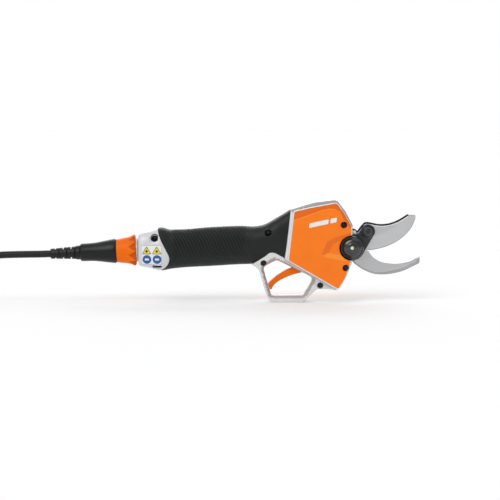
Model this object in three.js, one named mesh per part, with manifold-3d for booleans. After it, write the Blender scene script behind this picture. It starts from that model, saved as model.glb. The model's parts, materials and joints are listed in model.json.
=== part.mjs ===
// A battery electric pruner: a hand-held tool on a cable. A motor, a planetary gearbox and a screw drive in its
// handle close one curved blade past another. Millimetres; +X is towards the blades, +Z up, -Y the right side.
// The tool stands on the flat foot of its trigger guard, and the origin is below the middle of its length.
import * as THREE from "three";
import { mergeVertices } from "three/addons/utils/BufferGeometryUtils.js";
import Module from "manifold-3d";

const wasm = await Module();
wasm.setup();

// ------------------------------------------------------------------ driving dimensions
const FILLET_STEPS = 3; // straight pieces in a rounded corner
const GAP = 0.3; // clearance between neighbouring pieces
const SKIN = 2.2; // thickness of the soft grip over the housing
const CORE = -(SKIN + GAP); // the housing's surface under the grip, measured from the grip's
const REAR = { x: -105.8, z: 57.1 }; // where the tool's axis meets the housing's rear face
const TILT = THREE.MathUtils.degToRad(2.56); // the tool's axis rises this much towards the blades
const LENGTH = 406.12; // from the end of the strain relief to the tip of the counter blade

const HEAD_HALF = 18; // half width of the head's frame
const COVER_HALF = 23; // half width over the side covers
const FRAME_WALL = 2.6;
const FRAME_ROOM = 15.4; // half width of the room inside the head
const GUARD_HALF = 11; // half width of the guard's bow

const PIVOT = { x: 127.7, z: 60.2 }; // the blades' pivot, an axis along Y
const BLADE = [-4.2, -0.2]; // the cutting blade lies between these two Y values
const HOOK = [0.1, 5.6]; // the counter blade
const ARM = [-8.6, -4.5]; // the arm on the cutting blade
const CAP_RADIUS = 13;
const CAP_ROOM = 13.9; // radius of the bay in the head's side round the cap
const ARM_HUB = 14.6;
const ARM_BOSS = { x: 145.6, z: 77.8, r: 7.6 };
const LEVER = { r: 18.05, angle: 158, eye: 4.8 }; // the pin in the blade's tail, with the blades open
const LEVER_PIN = 2.2;
const BOLT = 4; // radius of the pivot bolt
const BLADE_HUB = 13.4; // radius of both blades round the pivot

const TRIGGER_PIVOT = { x: 78.4, z: 37.6 };
const TRIGGER_HALF = 6;
const TRIGGER_TRAVEL = 9; // degrees

const MOTOR = { from: 58, to: 116, r: 13.4 }; // lengths along the tool's axis from the rear face
const GEARS = { from: 122, to: 130, sun: 12, planet: 15, ring: 42, orbit: 6.75, outside: 13 }; // tooth counts
const BEARING = { from: 139, to: 147, r: 10 };
const SPINDLE = { r: 4, to: 203.5 };
const NUT = { half: 8, r: 8, trunnion: 3 };
const LINK = { length: 30, near: 8.4, far: 11.2, half: 4.9, clearance: 1.4 };

const CORD = 7.8; // diameter of the cord
const CORD_EXIT = -97.1; // the strain relief's end, along the tool's axis
const HANK = { fold: -371, run: 92, turn: 31.2, layers: 2, nearLayers: 3, near: 44, pocket: 15.5 };

// ------------------------------------------------------------------ helpers: solids
// A closed three.js geometry as a manifold-3d solid, its faces pointing out.
function solid(geometry) {
  const bare = geometry.index ? geometry.toNonIndexed() : geometry.clone();
  const points = new THREE.BufferGeometry().setAttribute("position", bare.getAttribute("position"));
  const merged = mergeVertices(points, 1e-4);
  const index = merged.index.array;
  const triangles = [];
  for (let i = 0; i < index.length; i += 3) {
    const [a, b, c] = index.subarray(i, i + 3);
    if (a !== b && b !== c && c !== a) triangles.push([a, b, c]);
  }
  const build = (list) =>
    new wasm.Manifold(
      new wasm.Mesh({
        numProp: 3,
        vertProperties: merged.attributes.position.array,
        triVerts: new Uint32Array(list.flat()),
      }),
    );
  const made = build(triangles);
  return made.volume() < 0 ? build(triangles.map(([a, b, c]) => [a, c, b])) : made;
}

const join = (first, ...others) => others.reduce((sum, other) => sum.add(other), first);
const cut = (first, ...others) => others.reduce((rest, other) => rest.subtract(other), first);

function geometryOf(shape) {
  const { vertProperties, triVerts } = shape.getMesh();
  const geometry = new THREE.BufferGeometry();
  geometry.setAttribute("position", new THREE.BufferAttribute(vertProperties, 3));
  geometry.setIndex(new THREE.BufferAttribute(triVerts, 1));
  geometry.computeVertexNormals();
  return geometry;
}

// A box between two corners.
function box([x0, y0, z0], [x1, y1, z1]) {
  const made = new THREE.BoxGeometry(x1 - x0, y1 - y0, z1 - z0);
  made.translate((x0 + x1) / 2, (y0 + y1) / 2, (z0 + z1) / 2);
  return solid(made);
}

// The points of an outline with corners [x, z, fillet radius], all moved outwards by `grow`.
function ringOf(corners, grow = 0) {
  const points = corners.map(([x, z]) => new THREE.Vector2(x, z));
  const turn = Math.sign(THREE.ShapeUtils.area(points));
  const outwards = (from, to) => {
    const edge = to.clone().sub(from).normalize();
    return new THREE.Vector2(edge.y, -edge.x).multiplyScalar(turn);
  };
  const moved = points.map((point, i) => {
    const before = outwards(points.at(i - 1), point);
    const after = outwards(point, points[(i + 1) % points.length]);
    return point.clone().addScaledVector(before.clone().add(after), grow / (1 + before.dot(after)));
  });
  return moved.flatMap((corner, i) => {
    const radius = corners[i][2];
    if (!radius) return [corner];
    const back = moved.at(i - 1).clone().sub(corner);
    const on = moved[(i + 1) % moved.length].clone().sub(corner);
    const half = Math.acos(back.dot(on) / back.length() / on.length()) / 2;
    const reach = Math.min(radius / Math.tan(half), 0.45 * back.length(), 0.45 * on.length());
    const start = corner.clone().addScaledVector(back.normalize(), reach);
    const end = corner.clone().addScaledVector(on.normalize(), reach);
    return new THREE.QuadraticBezierCurve(start, corner, end).getPoints(FILLET_STEPS);
  });
}

const outline = (corners, grow = 0) => new THREE.Shape(ringOf(corners, grow));

// A flat piece: an outline in X and Z, from one Y to another, its outline moved outwards by `grow`.
function plate(shape, [from, to], { grow = 0, segments = 3 } = {}) {
  const made = new THREE.ExtrudeGeometry(shape, {
    depth: to - from,
    curveSegments: segments,
    bevelEnabled: grow !== 0,
    bevelThickness: 0,
    bevelSize: 0,
    bevelOffset: grow,
    bevelSegments: 1,
  });
  made.rotateX(Math.PI / 2);
  made.translate(0, to, 0);
  return solid(made);
}

// A flat piece whose outline has corners, with a chamfer round both faces.
function chamfered(corners, [from, to], chamfer) {
  const layer = (y, grow) => ringOf(corners, grow).map((p) => [p.x, y, p.y]);
  const rings = [layer(from, -chamfer), layer(from + chamfer, 0), layer(to - chamfer, 0), layer(to, -chamfer)];
  return loft(rings);
}

function disc(x, z, r) {
  return new THREE.Shape().absarc(x, z, r, 0, 2 * Math.PI, false);
}

// A turned piece: a profile [position, radius] round an axis along X, Y or Z through a point.
function turned(profile, axis = "x", at = [0, 0, 0], sides = 24) {
  const points = profile.map(([along, r]) => new THREE.Vector2(r, along));
  const made = new THREE.LatheGeometry(points, sides);
  if (axis === "x") made.rotateZ(-Math.PI / 2);
  if (axis === "z") made.rotateX(Math.PI / 2);
  made.translate(...at);
  return solid(made);
}

// A turned piece with flat solid ends.
function spun(profile, axis, sides, at) {
  return turned([[profile[0][0], 0], ...profile, [profile.at(-1)[0], 0]], axis, at, sides);
}

const rod = (r, from, to, axis, at, sides = 24) => spun([[from, r], [to, r]], axis, sides, at);

const tube = (outer, inner, from, to, axis, at, sides = 24) =>
  turned([[from, inner], [from, outer], [to, outer], [to, inner], [from, inner]], axis, at, sides);

// A closed skin over rings of points, with a flat cap on the first and the last ring.
function loft(rings) {
  const n = rings[0].length;
  const position = new Float32Array(rings.flat(2));
  const index = [];
  for (let i = 0; i + 1 < rings.length; i++)
    for (let j = 0; j < n; j++) {
      const [a, b] = [i * n + j, i * n + ((j + 1) % n)];
      index.push(a, b, b + n, a, b + n, a + n);
    }
  const last = (rings.length - 1) * n;
  for (const [a, b, c] of capOf(rings[0])) index.push(a, c, b);
  for (const [a, b, c] of capOf(rings.at(-1))) index.push(last + a, last + b, last + c);
  const made = new THREE.BufferGeometry();
  made.setAttribute("position", new THREE.BufferAttribute(position, 3));
  made.setIndex(index);
  return solid(made);
}

// The triangles of a flat ring that lies across X or Y, turning the same way as the ring does.
function capOf(ring) {
  const across = ring.every((p) => Math.abs(p[0] - ring[0][0]) < 1e-6) ? [1, 2] : [0, 2];
  const flat = ring.map((p) => new THREE.Vector2(p[across[0]], p[across[1]]));
  const turns = THREE.ShapeUtils.area(flat) > 0;
  const triangles = THREE.ShapeUtils.triangulateShape(flat, []);
  return turns ? triangles : triangles.map(([a, b, c]) => [a, c, b]);
}

// The tool's own axis, as a matrix: its local X runs along the axis from the rear face.
const AXIS = new THREE.Matrix4()
  .makeRotationY(-TILT)
  .premultiply(new THREE.Matrix4().makeTranslation(REAR.x, 0, REAR.z));
const along = (shape) => solid(geometryOf(shape).applyMatrix4(AXIS));
const axisPoint = (s) => new THREE.Vector3(s, 0, 0).applyMatrix4(AXIS);

// A shape turned about an axis along +Y through a point, in degrees.
function swung(shape, { x, z }, degrees) {
  const turn = new THREE.Matrix4()
    .makeTranslation(x, 0, z)
    .multiply(new THREE.Matrix4().makeRotationY(THREE.MathUtils.degToRad(degrees)))
    .multiply(new THREE.Matrix4().makeTranslation(-x, 0, -z));
  return solid(geometryOf(shape).applyMatrix4(turn));
}

const polar = ({ x, z }, r, degrees) => {
  const angle = THREE.MathUtils.degToRad(degrees);
  return { x: x + r * Math.cos(angle), z: z + r * Math.sin(angle) };
};

// ------------------------------------------------------------------ materials
const finish = (color, roughness, metalness = 0) =>
  new THREE.MeshStandardMaterial({ color, roughness, metalness });
const SILVER = finish(0xb9bbbd, 0.45);
const ORANGE = finish(0xf26a10, 0.4);
const BLACK = finish(0x24272a, 0.6);
const SOFT = finish(0x2c302f, 0.8);
const STEEL = finish(0xb6b9bb, 0.3, 1);
const DARK_STEEL = finish(0x2a2b2d, 0.4, 1);
const BRASS = finish(0xc9a24b, 0.35, 1);
const COPPER = finish(0xa65c32, 0.5, 1);
const BOARD = finish(0x1f5a38, 0.6);
const CREAM = finish(0xe6dfb8, 0.4);

// ------------------------------------------------------------------ outlines in X and Z
// The handle's sections: [x, lowest z, highest z, half width, squareness].
const HANDLE = [
  [-105.8, 41.1, 74.5, 15.4, 3.2],
  [-103.6, 39.8, 75.8, 16.8, 3.2],
  [-93.7, 37.5, 78.3, 18.0, 3],
  [-80.5, 34.6, 81.7, 19.0, 2.7],
  [-71.5, 36.2, 79.4, 18.4, 2.5],
  [-60, 37.5, 79.2, 18.0, 2.4],
  [-27, 39.4, 81.7, 18.3, 2.4],
  [5, 41.3, 83.0, 18.6, 2.4],
  [22, 42.0, 83.1, 18.8, 2.5],
  [32, 43.2, 85.0, 18.9, 2.7],
  [44, 45.6, 91.5, 19.0, 3],
  [53, 46.2, 96.8, 18.4, 3.3],
  [62, 46.6, 102.6, 17.9, 3.6],
];
const RING = 20;

// The part of the handle that the soft grip covers.
const GRIP_ZONE = new THREE.Shape()
  .moveTo(-86, 92)
  .lineTo(-84.4, 80.6)
  .splineThru([
    new THREE.Vector2(-78.9, 64.6),
    new THREE.Vector2(-72.8, 52),
    new THREE.Vector2(-72.4, 43.5),
    new THREE.Vector2(-81.6, 34.7),
  ])
  .lineTo(-84, 26)
  .lineTo(16, 26)
  .lineTo(18.6, 41.8)
  .lineTo(33, 51.2)
  .quadraticCurveTo(40, 57.8, 46.5, 53.4)
  .lineTo(54.2, 49)
  .lineTo(62.2, 113.2)
  .closePath();

const HEAD = [
  [54.2, 47.4, 1],
  [60.8, 102.2, 1.5],
  [86, 109.9, 30],
  [110.6, 112.9, 6],
  [120.5, 100, 8],
  [128.2, 85.2, 2],
  [128, 45, 2],
  [121.5, 28.5, 20],
  [112.8, 13.2, 5],
];

const COVER = [
  [57.4, 46.6, 1],
  [64.3, 100.2, 3.5],
  [84, 104.6, 20],
  [111.6, 110, 6],
  [119.5, 98, 8],
  [126.8, 84.8, 3],
  [126.6, 46.8, 2],
  [120.4, 28.5, 20],
  [113, 14.4, 4],
];

const RECESS = outline([
  [93.8, 53.6, 2],
  [100.4, 67.9, 2],
  [110.9, 73, 4],
  [136, 80.5],
  [136, 47],
  [124.6, 45.8, 2],
  [97, 50.4, 2],
]);

const GUARD = [
  [18.6, 41.6, 1],
  [30, 58],
  [56, 58],
  [62, 44],
  [113.2, 14.9, 3],
  [88.7, 14.6, 6],
  [75, 0, 4],
  [38.6, 0, 5],
  [33.2, 11, 8],
  [25.2, 37.6, 6],
];

const FINGER_HOLE = [[30.6, 38.6, 5], [45.4, 46.4, 6], [86.1, 26.4, 5], [74.6, 7.5, 4], [39.7, 7.3, 4]];
const FLARED_HOLE = [[27.6, 39.4, 6], [42.9, 50.4, 7], [90.3, 25.5, 6], [76.2, 4.6, 5], [37.7, 4.6, 5]];

const TRIGGER = new THREE.Shape()
  .moveTo(74.6, 40.9)
  .splineThru([new THREE.Vector2(65.8, 38.9), new THREE.Vector2(54.8, 35), new THREE.Vector2(43.8, 27.7)])
  .lineTo(37.6, 22.3)
  .quadraticCurveTo(36, 20, 37.1, 17)
  .lineTo(38.5, 13.9)
  .lineTo(40, 13.8)
  .splineThru([
    new THREE.Vector2(41.6, 17.8),
    new THREE.Vector2(47.1, 22.8),
    new THREE.Vector2(54.8, 26.8),
    new THREE.Vector2(63.6, 30.3),
    new THREE.Vector2(76.5, 33),
  ])
  .closePath();

const CUTTER = new THREE.Shape()
  .moveTo(126.6, 80.9)
  .quadraticCurveTo(131.6, 80.7, 134, 78.2)
  .lineTo(138.4, 84)
  .quadraticCurveTo(141.5, 88.1, 145.5, 88)
  .splineThru([
    new THREE.Vector2(156, 85.9),
    new THREE.Vector2(168.1, 86.4),
    new THREE.Vector2(181.3, 91.6),
    new THREE.Vector2(188.4, 96.2),
  ])
  .lineTo(196.7, 95.9)
  .quadraticCurveTo(199, 94, 197.8, 91)
  .splineThru([
    new THREE.Vector2(190.1, 77),
    new THREE.Vector2(176.9, 66),
    new THREE.Vector2(159.3, 58.9),
    new THREE.Vector2(145.4, 56.7),
  ])
  .lineTo(137.5, 52.4)
  .lineTo(118.2, 52.4)
  .closePath();

const COUNTER = new THREE.Shape()
  .moveTo(143.9, 56.2)
  .lineTo(146.7, 56)
  .splineThru([
    new THREE.Vector2(152.7, 48.1),
    new THREE.Vector2(165.9, 42.8),
    new THREE.Vector2(183.5, 42.6),
    new THREE.Vector2(LENGTH / 2, 50.3),
  ])
  .lineTo(LENGTH / 2, 44.8)
  .lineTo(202.2, 42)
  .splineThru([
    new THREE.Vector2(186.8, 34.5),
    new THREE.Vector2(168.1, 30.1),
    new THREE.Vector2(151.6, 30.8),
    new THREE.Vector2(137.3, 37.4),
    new THREE.Vector2(129, 45.3),
  ])
  .lineTo(107, 46.5)
  .lineTo(104.5, 49)
  .lineTo(104.5, 57.5)
  .lineTo(117, 61)
  .closePath();

const SCREWS = {
  rear_upper: { x: -87.7, z: 71.2, head: 11.5 },
  rear_lower: { x: -84.9, z: 39.4, head: 7.5 },
  grip_front: { x: 36.1, z: 77, head: 12 },
  guard_rear: { x: 31.2, z: 43.2, head: 8.5 },
  guard_front: { x: 93.3, z: 18.6, head: 8.5 },
  head_upper: { x: 118.6, z: 85.5, head: 17 },
  head_lower: { x: 120.8, z: 38.7, head: 17 },
};
const SCREW = { head: 2.7, shank: 1.5, tall: 2.4, end: 7 };
const LUG = 4.6; // half width of the housing's two lugs inside the guard
const HOOK_SCREWS = [
  { x: 108.4, z: 49.8 },
  { x: 108.4, z: 56 },
];

// ------------------------------------------------------------------ shared shapes
const WIDE = 40; // past either side of the tool
const halves = { right: [-WIDE, -GAP / 2], left: [GAP / 2, WIDE] };
const halfSpace = (side) => box([-300, halves[side][0], -100], [300, halves[side][1], 200]);

// A rod along Y through a point of the XZ plane.
const crossRod = (r, from, to, { x, z }, sides) => rod(r, from, to, "y", [x, 0, z], sides);
// A hole along Y through the whole tool.
const crossHole = (r, point, sides) => crossRod(r, -WIDE, WIDE, point, sides);

// The handle's outer surface, grown by some distance, with its two ends pushed out by `reach`.
function handle(grow, reach = 0) {
  const section = ([x, low, high, half, square], move = 0) =>
    Array.from({ length: RING }, (_, j) => {
      const t = (2 * Math.PI * (j + 0.5)) / RING;
      const power = (v) => Math.sign(v) * Math.abs(v) ** (2 / square);
      return [
        x + move,
        (half + grow) * power(Math.cos(t)),
        (low + high) / 2 + ((high - low) / 2 + grow) * power(Math.sin(t)),
      ];
    });
  const rings = HANDLE.map((station) => section(station));
  if (reach > 0) {
    rings.unshift(section(HANDLE[0], -reach));
    rings.push(section(HANDLE.at(-1), reach));
  }
  return loft(rings);
}

// The counterbored holes of one housing screw: the head sinks from the right, the thread ends in the left half.
function screwHole(screw) {
  return join(
    crossRod(SCREW.head + 0.5, -WIDE, -screw.head + SCREW.tall + GAP, screw, 16),
    crossRod(SCREW.shank + GAP, -WIDE, SCREW.end + 1, screw, 12),
  );
}

// The room that the trigger sweeps, grown all round.
function triggerRoom() {
  const y = [-TRIGGER_HALF - 0.6, TRIGGER_HALF + 0.6];
  const blank = join(
    plate(TRIGGER, y, { grow: 0.7 }),
    plate(disc(TRIGGER_PIVOT.x, TRIGGER_PIVOT.z, 5.6), y),
  );
  const turns = [0, 0.5, 1].map((share) => share * TRIGGER_TRAVEL);
  const springRoom = crossRod(4.9, TRIGGER_HALF, 10.6, TRIGGER_PIVOT, 16);
  return join(springRoom, ...turns.map((angle) => swung(blank, TRIGGER_PIVOT, angle)));
}
const TRIGGER_ROOM = triggerRoom();

// ------------------------------------------------------------------ housing, grips and covers
// Where the housing holds the socket, board, motor, gears and bearing.
function driveBores() {
  return along(
    join(
      rod(11.3, -1, 12, "x"),
      box([10, -12.5, -8.5], [MOTOR.from - 1, 12.5, 9.5]),
      rod(MOTOR.r + GAP, MOTOR.from - 2, MOTOR.to + GAP, "x"),
      rod(GEARS.outside + GAP, MOTOR.to, 134, "x"),
      rod(6, 130, 140, "x"),
      rod(BEARING.r + GAP, BEARING.from - GAP, BEARING.to + GAP, "x"),
      rod(9.5, BEARING.to, 200, "x"),
    ),
  );
}

// The room inside the head, and its mouth for the blades, the arm and the cap.
function headRoom() {
  const inside = plate(outline(HEAD, -FRAME_WALL), [-FRAME_ROOM, FRAME_ROOM]);
  const afterHandle = box([62, -30, 0], [140, 30, 120]);
  const room = inside.intersect(afterHandle);
  const mouth = outline([[112, 43.2], [112, 84.2], [140, 84.2], [140, 43.2]]);
  return join(
    room,
    plate(mouth, [ARM[0] - 0.6, 6.6]),
    crossRod(ARM_HUB + 0.6, ARM[0] - 0.6, 6.6, PIVOT, 28),
    crossRod(CAP_ROOM, -WIDE, -5, PIVOT, 28),
    crossRod(CAP_ROOM, 5, WIDE, PIVOT, 28),
  );
}

// Posts inside the head: round its two screws, and under the counter blade's tail.
function headPosts() {
  const screwPost = (screw) => crossRod(3.4, -FRAME_ROOM - 1, FRAME_ROOM + 1, screw, 12);
  const pad = outline([[103, 44.6], [103, 59], [113.4, 59], [120.6, 46.4], [120.6, 43]]);
  return join(
    screwPost(SCREWS.head_upper),
    screwPost(SCREWS.head_lower),
    plate(pad, [HOOK[1] + GAP, FRAME_ROOM + 1]),
  );
}

// The lugs that carry the guard.
function guardLugs(grow = 0) {
  const { guard_rear: rear, guard_front: front } = SCREWS;
  const rearLug = outline([
    [rear.x - 4.5, rear.z - 3.6, 2],
    [rear.x - 4.5, 52],
    [rear.x + 5, 52],
    [rear.x + 3.4, rear.z - 2.6, 2],
  ]);
  const frontLug = outline([
    [front.x - 4, front.z - 2.4, 1],
    [front.x - 8, 32],
    [front.x + 8, 32],
    [front.x + 5, front.z - 2.4, 1],
  ]);
  return join(
    plate(rearLug, [-LUG - grow, LUG + grow], { grow }),
    plate(frontLug, [-LUG - grow, LUG + grow], { grow }),
  );
}

function housing() {
  const frame = chamfered(HEAD, [-HEAD_HALF, HEAD_HALF], 1.6);
  const covered = join(
    plate(GRIP_ZONE, [-WIDE, WIDE], { grow: GAP }),
    plate(outline(GUARD, GAP), [-WIDE, WIDE]),
  );
  const gripPocket = cut(handle(1.5, 6), handle(CORE, 8)).intersect(covered);
  const body = cut(join(handle(0), frame), gripPocket, driveBores(), headRoom());
  const pocketOutline = outline([[-90, 37.2, 1], [-90, 41.6, 1], [-78.6, 41.6, 1], [-78.6, 37.2, 1]]);
  const pocket = plate(pocketOutline, [-30, -9.6]);
  const withPosts = join(body, headPosts().intersect(plate(outline(HEAD, -1), [-17, 17])), guardLugs());
  const holes = Object.values(SCREWS).map((screw) => screwHole(screw));
  const hookHoles = HOOK_SCREWS.map((screw) => crossRod(1.9, 0, 12.5, screw, 12));
  const pinHole = crossRod(2.3, -9.5, 12.5, TRIGGER_PIVOT, 16);
  const blank = join(withPosts, triggerBosses());
  return cut(blank, pocket, ...holes, ...hookHoles, pinHole, TRIGGER_ROOM, driveBores());
}

// Two bosses that hold the trigger's pin, one on each side of the trigger.
function triggerBosses() {
  const boss = (from, to) => crossRod(4.6, from, to, TRIGGER_PIVOT, 16);
  return join(boss(-FRAME_ROOM - 1, -6.9), boss(10.4, FRAME_ROOM + 1));
}

function grip() {
  const skin = cut(handle(0), handle(-SKIN, 8)).intersect(plate(GRIP_ZONE, [-WIDE, WIDE]));
  return cut(skin, screwHole(SCREWS.grip_front));
}

function cover(side) {
  const outward = side === "right" ? -1 : 1;
  const layer = (near, far) => [outward * near, outward * far].sort((a, b) => a - b);
  const panel = chamfered(COVER, [-COVER_HALF, COVER_HALF], 1.6);
  const [near, far] = layer(HEAD_HALF + GAP, 30);
  const kept = panel.intersect(box([0, near, 0], [140, far, 130]));
  return cut(
    kept,
    plate(RECESS, layer(20.4, 30)),
    crossHole(CAP_ROOM, PIVOT, 28),
    ...(side === "right" ? [screwHole(SCREWS.head_upper), screwHole(SCREWS.head_lower)] : []),
  );
}

// The bow below the head: wide cheeks against the handle, a narrow foot, and a flared opening for the finger.
function guard() {
  const widths = new THREE.Shape();
  const half = [
    [GUARD_HALF - 2.4, -1],
    [GUARD_HALF, 2.4],
    [GUARD_HALF, 36],
    [14.6, 45],
    [17.4, 57],
    [17.4, 60],
  ];
  half.forEach(([y, z], i) => (i === 0 ? widths.moveTo(y, z) : widths.lineTo(y, z)));
  half.toReversed().forEach(([y, z]) => widths.lineTo(-y, z));
  const profile = new THREE.ExtrudeGeometry(widths, { depth: 110, bevelEnabled: false });
  profile.rotateX(Math.PI / 2);
  profile.rotateZ(Math.PI / 2);
  profile.translate(10, 0, 0);
  const blank = plate(outline(GUARD), [-18, 18]).intersect(solid(profile));
  const ring = (corners, y) => ringOf(corners).map((p) => [p.x, y, p.y]);
  const flare = (side) =>
    loft([
      ring(FINGER_HOLE, side * 6.5),
      ring(FLARED_HOLE, side * GUARD_HALF),
      ring(FLARED_HOLE, side * 20),
    ]);
  return cut(
    blank,
    plate(outline(FINGER_HOLE), [-8, 8]),
    flare(-1),
    flare(1),
    handle(-SKIN),
    plate(GRIP_ZONE, [-WIDE, WIDE], { grow: GAP }),
    plate(outline(HEAD, GAP), [-WIDE, WIDE]),
    guardLugs(GAP),
    TRIGGER_ROOM,
    crossHole(5.6, TRIGGER_PIVOT, 16),
    screwHole(SCREWS.guard_rear),
    screwHole(SCREWS.guard_front),
  );
}

function housingScrew({ head }) {
  const underHead = -head + SCREW.tall;
  return spun(
    [
      [-head, SCREW.head],
      [underHead, SCREW.head],
      [underHead, SCREW.shank],
      [SCREW.end, SCREW.shank],
    ],
    "y",
    12,
  );
}

// ------------------------------------------------------------------ electrics
const PINS = [0, 120, 240].map((angle) => {
  const { x: y, z } = polar({ x: 0, z: 0 }, 4, angle + 90);
  return [0, y, z];
});

function toolSocket() {
  const cup = turned([
    [-18, 8],
    [-18, 10.2],
    [-3, 10.2],
    [-2.8, 13],
    [-1, 13],
    [-1, 11],
    [9, 11],
    [9, 0],
    [-4, 0],
    [-4, 8],
    [-18, 8],
  ]);
  return cut(cup, ...PINS.map((at) => rod(1.5, -6, 12, "x", at, 8)));
}

// ------------------------------------------------------------------ motor and gears
function motorRotor() {
  return spun([
    [MOTOR.from - 0.5, 2],
    [MOTOR.from + 10, 2],
    [MOTOR.from + 10, 7],
    [MOTOR.to - 10, 7],
    [MOTOR.to - 10, 2],
    [MOTOR.to, 2],
    [MOTOR.to, 1.3],
    [GEARS.to, 1.3],
  ]);
}

function spindle() {
  return spun([[GEARS.to + 0.6, 2], [135, 2], [135, SPINDLE.r], [SPINDLE.to, SPINDLE.r]]);
}

// A gear's outline in its own plane, with straight-sided teeth a little thinner than their spaces.
function gearOutline(teeth, { root, tip, rootShare, tipShare, start = 0 }) {
  const shape = new THREE.Shape();
  const pitch = (2 * Math.PI) / teeth;
  for (let i = 0; i < teeth; i++)
    [[root, -rootShare], [tip, -tipShare], [tip, tipShare], [root, rootShare]].forEach(([r, share], j) => {
      const angle = start + pitch * (i + share / 2);
      const point = [r * Math.cos(angle), r * Math.sin(angle)];
      if (i + j === 0) shape.moveTo(...point);
      else shape.lineTo(...point);
    });
  return shape.closePath();
}

// A toothed disc across the tool's axis, its outline's first axis along +Y and its second along +Z.
function gear(shape, from, to) {
  const made = new THREE.ExtrudeGeometry(shape, { depth: to - from, bevelEnabled: false, curveSegments: 16 });
  made.rotateX(Math.PI / 2);
  made.rotateZ(Math.PI / 2);
  made.translate(from, 0, 0);
  return solid(made);
}

const EXTERNAL = { rootShare: 0.62, tipShare: 0.24 };
const PLANETS = [0, 1, 2].map((i) => (i * 2 * Math.PI) / 3);
const orbit = (angle) => [0, GEARS.orbit * Math.cos(angle), GEARS.orbit * Math.sin(angle)];

function sunGear() {
  const teeth = gearOutline(GEARS.sun, { root: 2.42, tip: 3.42, ...EXTERNAL });
  return cut(gear(teeth, GEARS.from - 1, GEARS.to), rod(1.6, 100, 140, "x", [0, 0, 0], 12));
}

// Each planet's teeth stand in the sun's spaces: the sun's first tooth points along its start angle.
function planetGear(angle) {
  const inMesh = Math.PI + angle + (angle * GEARS.sun) / GEARS.planet + Math.PI / GEARS.planet;
  const teeth = gearOutline(GEARS.planet, { root: 3.17, tip: 4.17, ...EXTERNAL, start: inMesh });
  const made = cut(gear(teeth, GEARS.from, GEARS.to), rod(1.5, 100, 140, "x", [0, 0, 0], 12));
  return made.translate(orbit(angle));
}

// The ring's spaces stand a whole tooth on from the first planet's direction.
function ringGear() {
  const start = (2 * Math.PI) / GEARS.ring;
  const space = gearOutline(GEARS.ring, { root: 9.98, tip: 11.06, rootShare: 0.7, tipShare: 0.46, start });
  return cut(rod(GEARS.outside, GEARS.from - 5, GEARS.to + 3, "x"), gear(space, GEARS.from - 6, GEARS.to + 4));
}

function planetCarrier() {
  const pins = PLANETS.map((angle) => rod(1.2, GEARS.from, GEARS.to + 2, "x", orbit(angle), 12));
  const plateAndPins = join(rod(9.2, GEARS.to + GAP, GEARS.to + 3, "x"), ...pins);
  return cut(plateAndPins, rod(2.3, 100, 150, "x", [0, 0, 0], 12));
}

// ------------------------------------------------------------------ cutting head
const LEVER_POINT = polar(PIVOT, LEVER.r, LEVER.angle);
const leverOnAxis = new THREE.Vector3(LEVER_POINT.x, 0, LEVER_POINT.z).applyMatrix4(AXIS.clone().invert());
const NUT_AT = leverOnAxis.x - Math.sqrt(LINK.length ** 2 - leverOnAxis.z ** 2); // the nut with the blades open
const NUT_POINT = axisPoint(NUT_AT);

function cuttingBlade() {
  const body = join(
    plate(CUTTER, BLADE, { segments: 4 }),
    crossRod(BLADE_HUB, ...BLADE, PIVOT, 32),
    plate(bar(LEVER_POINT, PIVOT, LEVER.eye), BLADE),
  );
  return cut(
    body,
    crossHole(BOLT + GAP, PIVOT, 24),
    crossHole(LEVER_PIN + GAP, LEVER_POINT, 16),
    crossHole(1.8, ARM_BOSS, 12),
  );
}

// A straight bar with round ends between two points.
function bar(a, b, half) {
  const angle = Math.atan2(b.z - a.z, b.x - a.x);
  return new THREE.Shape()
    .absarc(a.x, a.z, half, angle + Math.PI / 2, angle - Math.PI / 2, false)
    .absarc(b.x, b.z, half, angle - Math.PI / 2, angle + Math.PI / 2, false)
    .closePath();
}

function counterBlade() {
  const body = join(plate(COUNTER, HOOK, { segments: 4 }), crossRod(BLADE_HUB, ...HOOK, PIVOT, 32));
  const screwHoles = HOOK_SCREWS.map((screw) => crossHole(1.9, screw, 12));
  return cut(body, crossHole(BOLT + GAP, PIVOT, 24), ...screwHoles);
}

function bladeArm() {
  const neck = outline([[131, 52], [136.5, 76, 2], [140.2, 81.6, 2], [152.8, 75.4], [141.1, 54.7]]);
  const body = join(
    crossRod(ARM_HUB, ...ARM, PIVOT, 32),
    crossRod(ARM_BOSS.r, ...ARM, ARM_BOSS, 28),
    plate(neck, ARM),
  );
  return cut(body, crossHole(BOLT + GAP, PIVOT, 24), crossHole(1.8, ARM_BOSS, 12));
}

// The domed cap sits over the pivot bolt's head.
function pivotCap() {
  const profile = [
    [-9, 7.6],
    [-9, CAP_RADIUS],
    [-14.6, CAP_RADIUS],
    [-17, 11.4],
    [-19, 7.4],
    [-19.8, 3],
    [-19.8, 2.3],
    [-12.6, 2.3],
    [-12.6, 7.6],
    [-9, 7.6],
  ];
  return turned(profile, "y", [PIVOT.x, 0, PIVOT.z], 28);
}

function pivotBolt() {
  return spun([[-12.2, 7], [-8.9, 7], [-8.9, BOLT], [12.4, BOLT]], "y", 24);
}

function pivotNut() {
  return cut(rod(7.6, 5.9, 11.4, "y", [0, 0, 0], 6), rod(BOLT + GAP, -WIDE, WIDE, "y"));
}

function armScrew() {
  return spun([[-10.4, 4.6], [-8.9, 4.6], [-8.9, 1.5], [-0.4, 1.5]], "y", 20);
}

function counterScrew() {
  return spun([[-2.4, 2.8], [-GAP, 2.8], [-GAP, 1.5], [11.5, 1.5]], "y", 12);
}

function spindleNut() {
  const trunnions = rod(NUT.trunnion, -LINK.near - 2, LINK.far + 0.4, "y", [NUT_AT, 0, 0], 20);
  const body = rod(NUT.r, NUT_AT - NUT.half, NUT_AT + NUT.half, "x");
  return cut(join(body, trunnions), rod(SPINDLE.r + GAP, 100, 300, "x"));
}

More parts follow.
